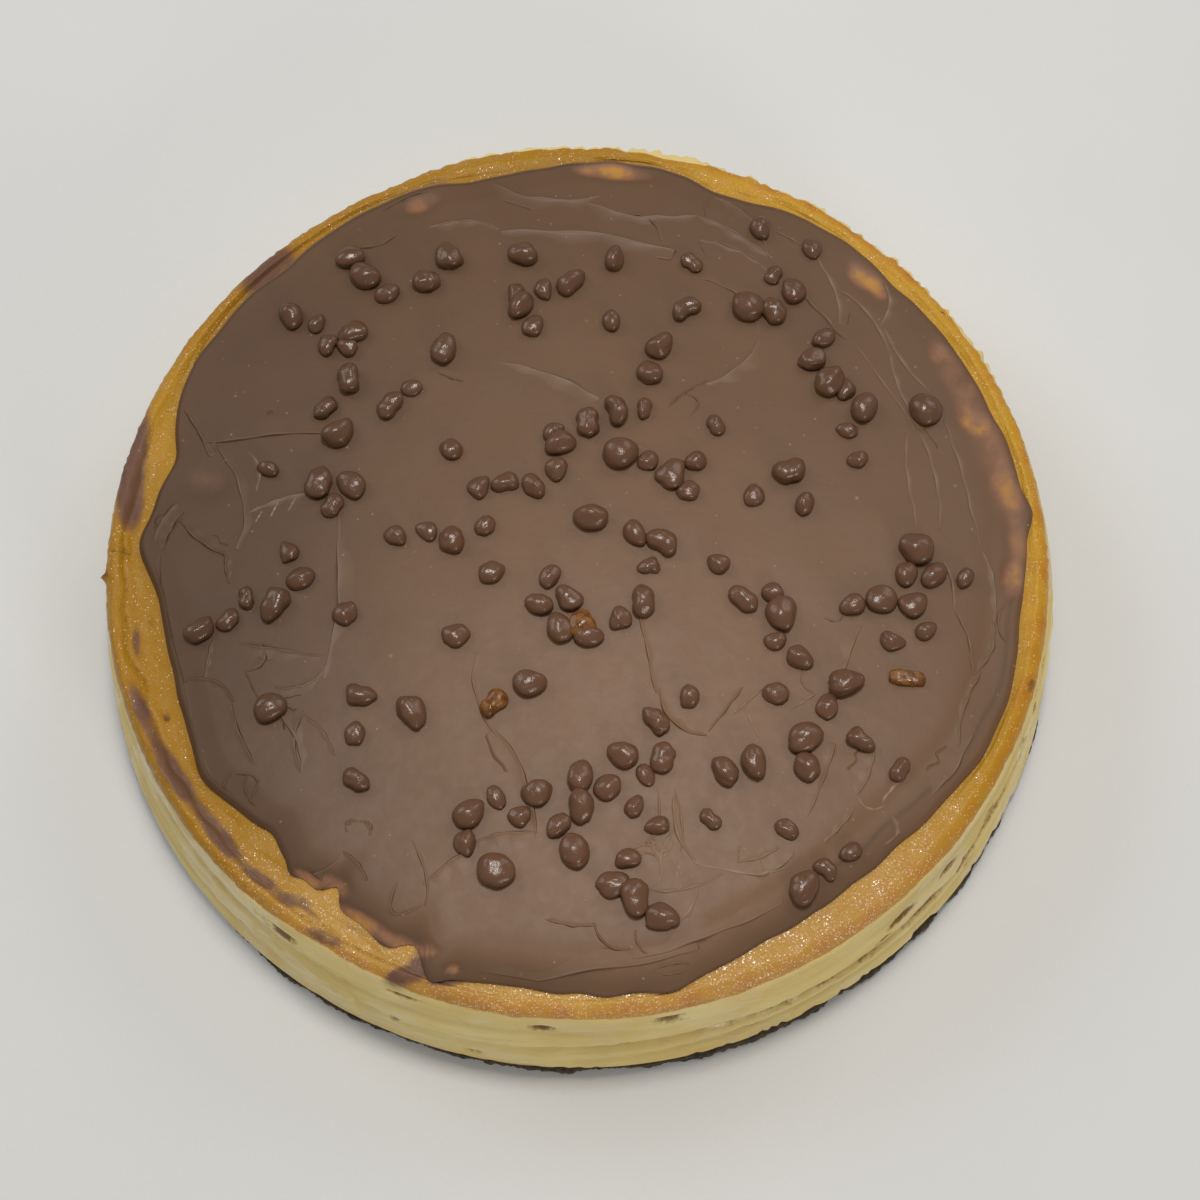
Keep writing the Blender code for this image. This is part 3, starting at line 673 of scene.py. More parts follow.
# Glints: small round dots, each as bright as chance has it, in that share of the cells that Share
# gives. Size, of a cell, is in metres, and Dot is a dot's radius as a share of it.
glints, given, out = new_group(
    "glints", (("Vector", "NodeSocketVector", None), ("Size", "NodeSocketFloat", 0.001),
               ("Share", "NodeSocketFloat", 0.5), ("Dot", "NodeSocketFloat", 0.42)), ("Mask",))
cells = put(glints, "TexVoronoi", {"Vector": given["Vector"],
                                   "Scale": sum_up(glints, "DIVIDE", 1.0, given["Size"])})
dice = put(glints, "SeparateColor", {"Color": cells.outputs["Color"]}).outputs["Red"]
bright = put(glints, "SeparateColor", {"Color": cells.outputs["Color"]}).outputs["Green"]
dot = spread_out(glints, cells.outputs["Distance"], sum_up(glints, "MULTIPLY", given["Dot"], 0.3),
                 given["Dot"], 1.0, 0.0)
dot = sum_up(glints, "MULTIPLY", dot, spread_out(glints, bright, 0.0, 1.0, 0.30, 1.0, False))
glints.links.new(sum_up(glints, "MULTIPLY", dot, sum_up(glints, "LESS_THAN", dice, given["Share"])),
                 out["Mask"])


def frayed(tree, mask, noise, amount):
    """A mask with a frayed edge: an amount times (a noise of 0 to 1, less 0.5) is added to it."""
    centred = sum_up(tree, "SUBTRACT", noise, 0.5)
    return sum_up(tree, "ADD", mask, sum_up(tree, "MULTIPLY", centred, amount))


cheese_look, tree, shader, position = new_look(
    "baked_cheese", Specular_IOR_Level=0.22, Coat_Roughness=0.14, Subsurface_Weight=0.12,
    Subsurface_Scale=0.003)
shader.inputs["Subsurface Radius"].default_value = (1.0, 0.6, 0.25)
read = {title: put(tree, "Attribute", attribute_name=title).outputs["Fac"] for title in cheese_masks}
fine = mottled(tree, position, 1.6 * MM, 0.5)
medium = mottled(tree, position, 6.0 * MM, 0.7)
large = mottled(tree, position, 22.0 * MM, 0.8)
crust_mask = spread_out(tree, frayed(tree, read["crust"], fine, 0.22), 0.2, 0.8)
toast_mask = spread_out(tree, frayed(tree, read["toast"], medium, 0.35), 0.0, 1.0)
smear_mask = spread_out(tree, sum_up(tree, "MULTIPLY", read["smear"], spread_out(
    tree, medium, 0.0, 1.0, 0.82, 1.14, False)), 0.12, 0.90)
pockets_and_painted_shade_mask = spread_out(tree, frayed(tree, read["pockets_and_painted_shade"], fine, 0.45), 0.22, 0.85)
# The pale side: two creams in long streaks, and olive painted shade in its creases
stretched = put(tree, "Mapping", {"Vector": position, "Scale": (1.0, 1.0, 2.2)}).outputs["Vector"]
streaks = mottled(tree, stretched, 24.0 * MM, 0.5, Detail=1.0)
pale = blend(tree, streaks, CHEESE_PALE, CHEESE_DEEP)
pale = blend(tree, sum_up(tree, "MULTIPLY", read["fold"], 0.42), pale, OLIVE_PAINTED_SHADE)
# The crust: yellow to orange, browner where it is darkest and in its grain, then painted shade, a
# painted sheen where glints lie thick, and painted pale glints
gold = blend(tree, toast_mask, CRUST_YELLOW, CRUST_ORANGE)
gold = blend(tree, spread_out(tree, toast_mask, 0.80, 1.0, 0.0, 0.35), gold, CRUST_BROWN)
gold = blend(tree, spread_out(tree, fine, 0.0, 1.0, 0.15, 0.0, False), gold, CRUST_BROWN)
gold = blend(tree, read["shade"], gold, CRUST_SHADE)
# A painted pinkish sheen, then painted pale glints on dots that also get a glossy coat
gold = blend(tree, spread_out(tree, read["sparkle"], 0.30, 1.0, 0.0, 0.075), gold, PAINTED_GLINT_PALE)
sparkling = sum_up(tree, "MULTIPLY", read["sparkle"], spread_out(tree, medium, 0.0, 1.0, 0.35, 1.25))
sparks = from_group(tree, glints, {"Vector": position, "Size": 0.62 * MM, "Share": sparkling,
                                   "Dot": 0.46})["Mask"]
gold = blend(tree, sum_up(tree, "MULTIPLY", sparks, 0.80), gold, PAINTED_GLINT_PALE)
# Side and crust with a pale torn line between, then brown pockets and painted shade, painted
# shade in the deep holes, then wiped chocolate
colour = blend(tree, crust_mask, pale, gold)
torn_line = spread_out(tree, sum_up(tree, "ABSOLUTE", sum_up(tree, "SUBTRACT", crust_mask, 0.35)),
                       0.05, 0.35, 0.45, 0.0)
colour = blend(tree, torn_line, colour, CHEESE_PALE)
colour = blend(tree, sum_up(tree, "MULTIPLY", pockets_and_painted_shade_mask, 0.94), colour, SPOT_AND_PAINTED_SHADE_BROWN)
colour = blend(tree, spread_out(tree, read["pockets_and_painted_shade"], 0.86, 1.0, 0.0, 0.65), colour, HOLE_PAINTED_SHADE)
colour = blend(tree, sum_up(tree, "MULTIPLY", smear_mask, 0.96), colour, FILM_BROWN)
# Relief: pebbles in the crust, smoothed by the wiped chocolate, and dimples and creases in the side
coarse_pebbles = from_group(tree, crumb, {"Vector": position, "Size": 1.2 * MM})["Height"]
fine_pebbles = from_group(tree, crumb, {"Vector": position, "Size": 0.55 * MM})["Height"]
pebbles = sum_up(tree, "ADD", sum_up(tree, "MULTIPLY", coarse_pebbles, 0.30),
                 sum_up(tree, "MULTIPLY", fine_pebbles, 0.70))
pebbles = sum_up(tree, "MULTIPLY", pebbles, spread_out(tree, read["smear"], 0.2, 0.9, 1.0, 0.25))
creases = from_group(tree, hairlines, {"Vector": stretched, "Size": 11.0 * MM, "Width": 0.015})["Line"]
dimples = mottled(tree, position, 9.0 * MM, 0.6, Detail=1.0)
side_relief = sum_up(tree, "SUBTRACT", dimples, sum_up(tree, "MULTIPLY", creases, 0.30))
skin_relief = put(tree, "Mix", {0: crust_mask, 2: side_relief, 3: pebbles}).outputs[0]
# Gloss: wet patches on the side, glassy glints on the crust, and satin where chocolate was wiped
wet = spread_out(tree, large, 0.45, 0.80, 0.62, 0.34)
glossy = spread_out(tree, sparks, 0.0, 1.0, 0.34, 0.14)
skin = put(tree, "Mix", {0: smear_mask, 2: glossy, 3: 0.46}).outputs[0]
roughness = put(tree, "Mix", {0: crust_mask, 2: wet, 3: skin}).outputs[0]
moist = spread_out(tree, large, 0.55, 0.85, 0.0, 0.34)
glassy = sum_up(tree, "MULTIPLY", sparks, 0.8)
coat = put(tree, "Mix", {0: crust_mask, 2: moist, 3: glassy}).outputs[0]
tree.links.new(coat, shader.inputs["Coat Weight"])
join_up(tree, shader, colour, roughness, skin_relief, 0.26 * MM)

cheese_body = closed_bodies("cheese_body", cheese_rings, cheese_look, cheese_masks)
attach(cheese_body, "root")
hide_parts("baked_cheese")

# ---------------------------------------------------------------------------------------------
# Chocolate spread. A soft milk chocolate spread put on with a spatula: a satin face with broad
# waves and a rounded edge, so thin at some places near the rim that the baked top shows through.
SPREAD_THICKNESS = 2.1 * MM
SPREAD_EDGE_THICKNESS = 1.0 * MM
SPREAD_EDGE_ROUNDING = 1.4 * MM
SPREAD_EDGE_SLOPE = 8.0 * MM
SPREAD_WAVE = 0.22 * MM
EDGE_FALL = 1.0 * MM             # how far the face falls away to its edge at the front
EDGE_FALL_WIDTH = 15.0 * MM
GROOVE_DEPTH = 0.6 * MM
GROOVE_INSET = 9.0 * MM
GROOVE_HALF_WIDTH = 4.0 * MM
GROOVE_MIDDLE = math.radians(-45.0)
EDGE_WOBBLE = 0.20 * MM
FILM_SHARE = 0.08                # of its thickness is left where the spread is only a film
EDGE_BEAD = 105                  # degrees from +X at which its edge is painted as a small bead
TRACK = -32                      # and at which painted shade marks the spatula's track along its edge
SPREAD_SIDES = 560
EDGE_ROWS = 12
FACE_ROWS = 140
# Tongues and bays of its edge that SPREAD_EDGE is too coarse for: degrees, mm outwards, and
# half width in degrees
EDGE_BUMPS = (
    (167, -2.0, 3.0), (180, 2.2, 4.0), (193, 0.9, 6.0), (214.8, 2.1, 3.5), (226, -2.3, 2.2),
    (231.3, 1.8, 1.2), (237.3, -4.5, 1.3), (243, -1.2, 2.5), (249.3, -4.6, 2.0), (252.8, 3.0, 1.6),
    (263, -0.8, 6.0), (270.5, -1.0, 2.0), (281, 1.3, 2.5), (291, -1.3, 3.5), (3.5, 2.4, 2.6), (63, -1.3, 5.0),
    (106, -1.2, 4.0), (134, -2.0, 9.0), (157, 2.0, 4.0))
# Thin places, where the gold shows through, as the soft ovals of the smears
THIN_PLACES = (
    (85.0, 122.6, 10.5, 3.0, 0.03, 0.80), (113.0, 120.5, 5.5, 3.2, 0.0, 0.42),
    (45.4, 119.4, 4.8, 3.2, 0.10, 0.62), (42.4, 120.4, 4.6, 2.7, 0.10, 0.54),
    (44.0, 119.8, 9.0, 5.0, 0.08, 0.18), (29.0, 120.6, 3.0, 3.2, 0.0, 0.40),
    (17.4, 120.0, 5.4, 3.8, -0.25, 0.62), (7.0, 123.0, 9.0, 3.8, -0.1, 0.44),
    (17.0, 121.4, 32.0, 5.4, 0.0, 0.34), (345.0, 120.0, 22.0, 5.0, 0.0, 0.12),
    (0.0, 123.8, 9.0, 3.0, 0.0, 0.40), (354.4, 121.8, 5.5, 2.8, 0.0, 0.66),
    (233.6, 119.4, 4.0, 1.6, 0.0, 0.62), (237.0, 116.6, 4.6, 2.4, 0.0, 0.52),
    (242.5, 121.4, 9.0, 2.2, 0.05, 0.62), (248.2, 122.0, 5.0, 2.2, 0.0, 0.60),
    (251.6, 121.6, 2.6, 1.4, -0.25, 0.55), (255.0, 124.2, 1.7, 1.3, 0.0, 0.84),
    (170.0, 107.7, 6.0, 7.0, 0.0, 0.17))
# The chocolate in painted shade and in painted light; the spread is coloured between them by place
CHOCOLATE_IN_PAINTED_SHADE = (0.087, 0.043, 0.020)
CHOCOLATE_IN_PAINTED_LIGHT = (0.190, 0.097, 0.045)
CHOCOLATE_FILM = (0.240, 0.112, 0.060)
SHOWS_THROUGH = (0.47, 0.225, 0.030)
# Painted shade and painted highlights: in the strokes' lines, at the edge and on bubbles
PAINTED_SHADE_BROWN = (0.056, 0.028, 0.015)
PAINTED_HIGHLIGHT_BROWN = (0.360, 0.245, 0.175)


def wave(x, y):
    """Broad unevenness that the spatula left in the spread: three crossing sine waves."""
    along = np.sin(38.0 * x + 21.0 * y + 0.4) + 0.7 * np.sin(61.0 * y - 27.0 * x + 2.0)
    return SPREAD_WAVE * (along + 0.5 * np.sin(95.0 * x + 40.0 * y))


def spread_edge_at(angle):
    """How far the spread reaches from the middle: the smooth outline and its tongues and bays."""
    reach = smooth_round(SPREAD_EDGE, angle % (2.0 * math.pi))
    for degrees, outwards, half_width in EDGE_BUMPS:
        reach = reach + outwards * np.exp(-(turn_from(angle, degrees) / math.radians(half_width)) ** 2)
    return reach * MM


def thinness(x, y):
    """How much of the spread is missing, 0 to 1, so that the gold under it shows."""
    return soft_ovals(np.arctan2(y, x), np.hypot(x, y), THIN_PLACES)


def at_front(angle):
    """1 towards the front, and 0 at the sides and the back."""
    return ease(-np.sin(angle), 0.50, 0.92)


def spread_height(x, y):
    """Height of the spread's face: even thickness, thinner to the edge, waves and edge groove,
    a fall to the edge at the front, and only a film where it is thin."""
    angle = np.arctan2(y, x) % (2.0 * math.pi)
    inset = spread_edge_at(angle) - np.hypot(x, y)
    near_middle = np.clip(np.cos(angle - GROOVE_MIDDLE), 0.0, 1.0) ** 2
    groove = GROOVE_DEPTH * near_middle * np.exp(-((inset - GROOVE_INSET) / GROOVE_HALF_WIDTH) ** 2)
    full = np.clip(inset / SPREAD_EDGE_SLOPE, 0.0, 1.0)
    left_over = 1.0 - (1.0 - FILM_SHARE) * thinness(x, y)
    fall = EDGE_FALL * at_front(angle) * (1.0 - np.clip(inset / EDGE_FALL_WIDTH, 0.0, 1.0)) ** 2
    return (HEIGHT_OF_TOP + CLEARANCE + (SPREAD_THICKNESS * (0.75 + 0.25 * full) - fall) * left_over
            + full * wave(x, y) - groove)


def painted_light_at(x, y):
    """Painted light and shade on the chocolate, 0 to 1: lightest a little to the front and right
    of the middle, where most light falls, with painted shade by a bell curve to the back and the
    left and along the edge at the front, and lighter along the edge at the left. A flat scraped
    area at the front gets a lighter painted sheen."""
    inset = spread_edge_at(np.arctan2(y, x)) - np.hypot(x, y)
    bell = np.exp(-((x - 0.024) / 0.092) ** 2 - ((y + 0.060) / 0.116) ** 2)
    scraped = np.exp(-(((x + 0.012) / 0.030) ** 2 + ((y + 0.094 - 0.15 * x) / 0.013) ** 2) ** 2)
    at_left = ease(-x, 0.035, 0.100) * (1.0 - 0.45 * ease(y, 0.0, 0.060))
    angle = np.arctan2(y, x)
    near_edge = 0.42 * at_front(angle) + 0.04 - 0.13 * ease(-np.cos(angle), 0.0, 0.7)
    near_edge = near_edge * (1.0 - ease(inset, 0.001, 0.010))
    return 0.335 + 0.665 * bell + 0.12 * scraped - 0.40 * at_left - near_edge


def dullness_at(x, y):
    """How dull the chocolate is, 0 to 1: it loses its gloss towards the edge, most at the front."""
    angle = np.arctan2(y, x)
    inset = spread_edge_at(angle) - np.hypot(x, y)
    return (0.45 + 0.55 * at_front(angle)) * (1.0 - ease(inset, 0.001, 0.014))


angle = circle(SPREAD_SIDES)
edge = spread_edge_at(angle)
edge_wobble = EDGE_WOBBLE * swells(around(angle, LIP_RADIUS, 0.0 * angle), 17 * MM, 31, 20)
valley = smooth_round(VALLEY_DEPTH, angle) * MM
face_edge = edge - SPREAD_EDGE_ROUNDING
face_shares = np.linspace(1.0, 0.0, FACE_ROWS)[:, None] ** 0.9
face = around(angle, (face_edge + edge_wobble * ease(face_shares, 0.9, 1.0)) * face_shares, 0.0)
face[..., 2] = spread_height(face[..., 0], face[..., 1])
face[..., 2] += 0.03 * MM * swells(face[..., :2], 24 * MM, 32) * ease(face_shares, 0.0, 0.1)
edge_floor = HEIGHT_OF_TOP - 0.6 * valley + CLEARANCE
left_over = 1.0 - (1.0 - FILM_SHARE) * thinness(edge * np.cos(angle), edge * np.sin(angle))
edge_corners = np.array([
    (edge + edge_wobble - 0.3 * MM, edge_floor), (edge + edge_wobble, edge_floor + 0.4 * MM * left_over),
    (edge + edge_wobble - 0.2 * MM,
     edge_floor + SPREAD_EDGE_THICKNESS * (1.0 - 0.5 * at_front(angle)) * left_over),
    (np.hypot(face[0, :, 0], face[0, :, 1]), face[0, :, 2])])
edge_radius, edge_height = np.moveaxis(smooth_along(edge_corners, np.linspace(0.0, 3.0, EDGE_ROWS)), 1, 0)
edge_rows = around(angle, edge_radius, edge_height)
under = [around(angle, shrink * edge, HEIGHT_OF_TOP - valley * dip + CLEARANCE)
         for shrink, dip in ((0.0, 0.0), (0.5, 0.0), (0.94, 0.2))]
spread_rings = np.stack([*under, *edge_rows, *face[1:]])[None]

thin = thinness(spread_rings[..., 0], spread_rings[..., 1])
# The fold mask paints shade at the foot of the edge at the front, and in the bottom of the
# spatula's track at the front right. At the back the edge is painted as a small bead: a painted
# highlight on its crest, painted shade behind it.
inset = edge + edge_wobble - np.hypot(spread_rings[..., 0], spread_rings[..., 1])
painted_bead = 0.60 * np.exp(-((inset - 1.25 * MM) / (0.34 * MM)) ** 2) - 0.42 * np.exp(
    -((inset - 0.45 * MM) / (0.30 * MM)) ** 2)
edge_foot = 0.80 * (1.0 - ease(inset, -0.2 * MM, 1.0 * MM))
painted_bead = painted_bead * facing(angle, EDGE_BEAD, 0.50, 0.85)
track_place = 4.6 * MM - 4.4 * MM * turn_from(angle, TRACK) + 0.4 * MM * np.sin(23.0 * angle)
track = 0.56 * facing(angle, TRACK, 0.84, 0.95) * np.exp(
    -((inset - track_place) / (0.80 * MM)) ** 2)
edge_painted_shading = (painted_bead + track + edge_foot * at_front(angle)) * (1.0 - thin)


def chocolate_look(name, dark, light, specular, gloss, grain_size, relief_depth):
    """Milk chocolate with painted highlights on small bubbles: gold where the attribute thin is 1,
    painted shade where fold is 1 and a painted highlight where fold is -1, between the dark and
    the light colour by the painted light of its place, and rougher with dull."""
    made, tree, shader, position = new_look(name, Specular_IOR_Level=specular)
    read = {title: put(tree, "Attribute", attribute_name=title).outputs["Fac"]
            for title in ("painted_light", "thin", "fold", "dull")}
    soft = mottled(tree, position, 26 * MM, 0.5)
    fine = mottled(tree, position, grain_size, 0.5)
    small_bubbles = from_group(tree, glints, {"Vector": position, "Size": 4.2 * MM, "Share": 0.55,
                                              "Dot": 0.11})["Mask"]
    large_bubbles = from_group(tree, glints, {"Vector": position, "Size": 13.0 * MM, "Share": 0.45,
                                              "Dot": 0.065})["Mask"]
    bubble = sum_up(tree, "MAXIMUM", small_bubbles, large_bubbles)
    cloudy = mottled(tree, position, 7 * MM, 0.7)
    streaky = sum_up(tree, "MULTIPLY", read["thin"], spread_out(tree, cloudy, 0.0, 1.0, 0.62, 1.25, False))
    # The painted light of the place, with a little random mottling, takes the colour from dark to light
    painted_light = sum_up(tree, "ADD", read["painted_light"], spread_out(tree, soft, 0.0, 1.0, -0.07, 0.07, False))
    colour = blend(tree, spread_out(tree, painted_light, 0.0, 1.0, soft=False), dark, light)
    # Painted highlights on the bubbles
    colour = blend(tree, sum_up(tree, "MULTIPLY", bubble, 0.55), colour, PAINTED_HIGHLIGHT_BROWN)
    # Painted shade where fold is up to 1, and a painted highlight where it is below 0
    colour = blend(tree, spread_out(tree, read["fold"], 0.0, 1.0, 0.0, 0.85), colour, PAINTED_SHADE_BROWN)
    colour = blend(tree, spread_out(tree, read["fold"], 0.0, -1.0, 0.0, 0.75, False), colour, PAINTED_HIGHLIGHT_BROWN)
    colour = blend(tree, spread_out(tree, streaky, 0.05, 0.50), colour, CHOCOLATE_FILM)
    colour = blend(tree, spread_out(tree, streaky, 0.35, 0.95), colour, SHOWS_THROUGH)
    height = sum_up(tree, "ADD", sum_up(tree, "MULTIPLY", fine, 0.35),
                    sum_up(tree, "MULTIPLY", bubble, 0.5))
    roughness = sum_up(tree, "ADD", spread_out(tree, fine, 0.0, 1.0, gloss, gloss + 0.04),
                       sum_up(tree, "MULTIPLY", read["dull"], 0.24))
    join_up(tree, shader, colour, roughness, height, relief_depth)
    return made


spread_look = chocolate_look("chocolate_spread", CHOCOLATE_IN_PAINTED_SHADE, CHOCOLATE_IN_PAINTED_LIGHT, 0.35, 0.44,
                             3.5 * MM, 0.08 * MM)
# The spread carries painted light by place, and painted shading at its edge
chocolate_spread = closed_bodies("chocolate_spread", spread_rings, spread_look, {
    "thin": thin, "fold": edge_painted_shading, "painted_light": painted_light_at(spread_rings[..., 0], spread_rings[..., 1]),
    "dull": dullness_at(spread_rings[..., 0], spread_rings[..., 1])})
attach(chocolate_spread, "root")
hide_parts("chocolate_top")

# ---------------------------------------------------------------------------------------------
# Spatula strokes. The ridges, steps, folds and thin webs that the spatula pulled up in the same
# chocolate, each a low bar along an arc that comes out of the spread and sinks back into it.
# From x, y to x, y, the bow to the left, the height, all in mm, and the lean: at 1 the ridge
# falls away slowly to the left of its way and steeply to the right, at -1 the other way round
STROKES = (
    # at the back
    (-45, 102, -23, 101, 3, 0.5, -0.4), (-24, 101, 30, 94, 2, 0.6, -0.7), (-26, 119, 8, 114, -5, 0.5, -0.5),
    (1, 112, 37, 106, -3, 0.5, -0.6), (36, 106, 59, 91, 1, 0.6, -0.5), (13, 106, 25, 97, 4, 0.5, 0.3),
    (41, 113, 40, 104, -2, 0.4, 0), (41, 113, 54, 103, 1, 0.5, -0.3), (36, 98, 57, 87, 2, 0.6, -0.3),
    (36, 98, 39, 91, 0, 0.3, 0), (35, 84, 53, 63, 6, 0.35, 0.6), (53, 64, 37, 49, 3, 0.5, 0.7),
    (38, 50, 26, 41, -1, 0.6, 0), (30, 46, 32, 38, 4, 0.4, 0), (-26, 57, 7, 44, 2, 0.4, -0.8),
    (-41, 53, -33, 50, 0, 0.4, 0), (-70, 97, -53, 102, -4, 0.5, 0.5), (-59, 108, -45, 116, 1, 0.5, 0),
    # at the right
    (71, 92, 77, 68, 2, 0.4, 0.4), (77, 80, 91, 58, 3, 0.5, 0.3), (91, 59, 97, 37, -1, 0.4, 0.3),
    (90, 68, 103, 45, -2, 0.4, 0.2), (80, 63, 97, 33, 1, 0.4, 0), (97, 34, 101, 2, 3, 0.45, 0.3),
    (95, 35, 95, 2, -1, 0.4, 0.2), (105, 37, 113, -4, 1, 0.45, 0.2), (66, 79, 79, 63, 0, 0.7, 0),
    (53, 104, 58, 90, 0, 0.4, 0), (59, 101, 68, 95, 0, 0.4, 0), (91, 83, 89, 68, 2, 0.4, 0.6),
    (113, -4, 115, -26, 2, 0.5, -0.3), (115, -25, 108, -41, 2, 0.5, -0.3), (102, -7, 104, -22, 1, 0.4, 0.5),
    (104, -21, 108, -41, 1, 0.5, 0.4), (110, -39, 102, -62, -1, 0.5, -0.3), (122, -18, 118, -32, -4, 0.5, 0),
    (78, -26, 69, -49, 0, 0.35, -0.7), (68, -24, 74, -22, -2, 0.4, 0), (62, -38, 64, -46, -2, 0.3, 0),
    (57, -51, 65, -46, 0, 0.5, 0), (80, -61, 74, -75, 1, 0.45, -0.6), (74, -74, 82, -77, -3, 0.5, 0),
    (81, -77, 88, -70, 1, 0.4, 0.3), (69, -60, 60, -81, 1, 0.4, -0.6), (65, -88, 74, -78, 0, 0.5, 0.4),
    (83, -80, 80, -88, 3, 0.4, 0), (42, -95, 57, -90, -3, 0.5, 0.6), (94, -75, 107, -57, -1, 0.5, 0.7),
    # at the left
    (-72, 34, -108, 31, 0, 0.6, -0.9), (-113, 12, -119, 0, -1, 0.5, 0.4),
    (-116, 44, -105, 26, 1, 0.6, 0.3), (-104, 30, -96, -3, 5, 0.4, 0.5),
    (-112, 7, -98, -4, -2, 0.6, 0.4), (-99, -3, -97, -13, 0, 0.6, 0.2),
    (-111, 9, -116, -3, -1, 0.6, -0.6), (-116, -3, -107, -43, -3, 0.8, -0.7),
    (-93, 8.5, -76, 14.5, 1.5, 0.4, -0.3), (-84.5, 12.5, -87, 7, 0, 0.3, 0),
    (-79.5, 14, -82, 9, 0, 0.3, 0), (-89, 9.5, -91, 5.5, 0, 0.3, 0), (-68, -33, -83, -43, 5, 0.4, 0.3),
    (-69, -38, -79, -42, 3, 0.3, 0), (-91, 15, -94, 28, -2, 0.4, 0.3), (-67, 9, -69, -42, 1, 0.35, 0.8),
    (-93, -30, -69, -34, -1, 0.5, -0.5), (-90, -39, -87, -31, -3, 0.5, 0.4),
    (-91, -38, -86, -48, 0, 0.4, 0), (-100, -29, -102, -41, 0, 0.4, 0.3),
    (-107, -41, -93, -48, 3, 0.6, -0.4), (-94, -47, -86, -66, -1, 0.5, -0.4),
    (-107, -41, -88, -78, -7, 0.5, 0.5), (-81, -51, -74, -68, 2, 0.4, 0.5),
    (-74, -68, -74, -50, 2, 0.4, 0.4), (-74, -51, -65, -63, 1, 0.4, -0.4),
    (-88, -67, -85, -77, -2, 0.5, 0), (-92, -67, -91, -77, -3, 0.5, 0), (-92, -68, -88, -76, 5, 0.5, 0),
    (-77, -93, -62, -89, -4, 0.4, -0.5), (-62, -89, -55, -97, 1, 0.5, -0.4),
    (-61, -84, -58, -81, 2, 0.4, -0.3), (-58, -81, -55, -85, 2, 0.4, -0.3),
    (-44, -86, -40, -104, 2, 0.4, 0.3), (-40, -103, -47, -97, 7, 0.4, 0.2),
    # at the front
    (-23, -55, -11, -85, 3, 0.4, -0.6), (-11, -84, -28, -87, -1, 0.5, 0.8), (-27, -87, -41, -98, 0, 0.5, 0.8),
    (-27, -33, -21, -58, -4, 0.3, 0.5), (21, -72, 18, -88, 2, 0.4, 0), (18, -87, 24, -83, -5, 0.4, 0),
    (26, -72, 32, -94, -3, 0.5, 0.3), (31, -93, 55, -94, -2, 0.5, 0.5), (14, -95, 21, -91, 3, 0.5, 0),
    (20, -90, 18, -100, 3, 0.5, 0), (31, -97, 18, -109, 5, 0.5, -0.4), (-9, -107, 5, -109, -1, 0.4, 0.4),
    (4, -108, 14, -115, -3, 0.5, 0), (15, -110, 20, -117, -2, 0.5, 0), (-29, -122, 32, -115, -3, 0.5, 0.7),
    (19, -121, 29, -119, 1, 0.4, 0), (19, -121, 29, -120, -1, 0.3, 0), (13, -117, 54, -102, -3, 0.5, 0.8),
    # the web that it pulled up there
    (26, -73, 27, -90, 1, 0.5, 0), (26, -83, 21.5, -97, -1.5, 0.5, 0), (14, -94, 20, -88, 3, 0.4, 0),
    (19.5, -86, 25.5, -87, -4.5, 0.4, 0), (19, -88, 21.5, -97, 1.5, 0.4, 0), (17, -99, 38, -95, -3, 0.5, 0.2),
    (27, -89, 37, -94, -1.5, 0.4, 0), (42.5, -88, 42, -93, 0, 0.4, 0), (42, -92.5, 53, -88.5, -1, 0.5, 0.3),
    (24, -92, 27, -97, 1, 0.4, 0), (28, -92, 26, -98.5, -1, 0.3, 0),
    # in the middle
    (17, -19, 22, -46, -1, 0.4, 0.5), (22, -44, 35, -58, -4, 0.5, 0.4), (35, -57, 45, -44, 0, 0.6, 0),
    (42, -52, 52, -43, 0, 0.6, 0), (45, -47, 50, -60, -1, 0.5, 0))
# Where the painted lines of the strokes are light all over: x, y and half width, in mm
PALE_PLACES = ((27, -88, 20), (-85, 11, 9), (-76, -40, 8), (50, -50, 14), (76, -77, 13))
THIN_SIDE = 1.20 * MM            # how far a stroke reaches on its steep side
WIDE_SIDE = 8.0 * MM             # and how much further on the slow one, at a lean of 1
STEEP_FALL = 0.50 * MM           # the width in which the steep side falls to the spread's face
CREST_HALF_WIDTH = 0.40 * MM     # of the painted highlight along the crest
FOOT_LINE = 0.52 * MM            # from the crest to the painted shade at the steep side's foot
FOOT_HALF_WIDTH = 0.42 * MM
STROKE_RISE = 1.30               # how much higher a stroke is than its height in the table
STROKE_INSET = 2.2 * MM          # how far strokes keep off the spread's edge
STROKE_RINGS = 48
STROKE_POINTS = 18
STROKE_SINK = 0.05 * MM          # how far its edges lie under the spread's face
STROKE_DEPTH = 0.7 * MM          # and its underside

strokes = np.array(STROKES, dtype=float)
start, end, (bow, height, lean) = strokes[:, :2] * MM, strokes[:, 2:4] * MM, strokes[:, 4:].T
draw = np.random.default_rng(41)
run = np.linspace(0.0, 1.0, STROKE_RINGS)[None, :]
way = end - start
length = np.hypot(*way.T)[:, None]
leftwards = np.stack([-way[:, 1], way[:, 0]], axis=-1) / length
wander = sum(draw.uniform(-1, 1, (len(strokes), 1)) / turns * np.sin(
    2 * math.pi * (turns * run + draw.uniform(0, 1, (len(strokes), 1)))) for turns in (1.0, 2.3, 4.1))
sideways = 4.0 * run * (1.0 - run) * bow[:, None] * MM + 0.018 * length * wander
middle = start[:, None] + run[..., None] * way[:, None] + sideways[..., None] * leftwards[:, None]
heading = np.gradient(middle, axis=1)
heading /= np.linalg.norm(heading, axis=-1, keepdims=True)
left = np.stack([-heading[..., 1], heading[..., 0]], axis=-1)
swell = np.sin(math.pi * np.clip(run, 0.004, 0.996)) ** 0.45 * (0.8 + 0.22 * np.sin(
    2 * math.pi * (3.0 * run + draw.uniform(0, 1, (len(strokes), 1)))))
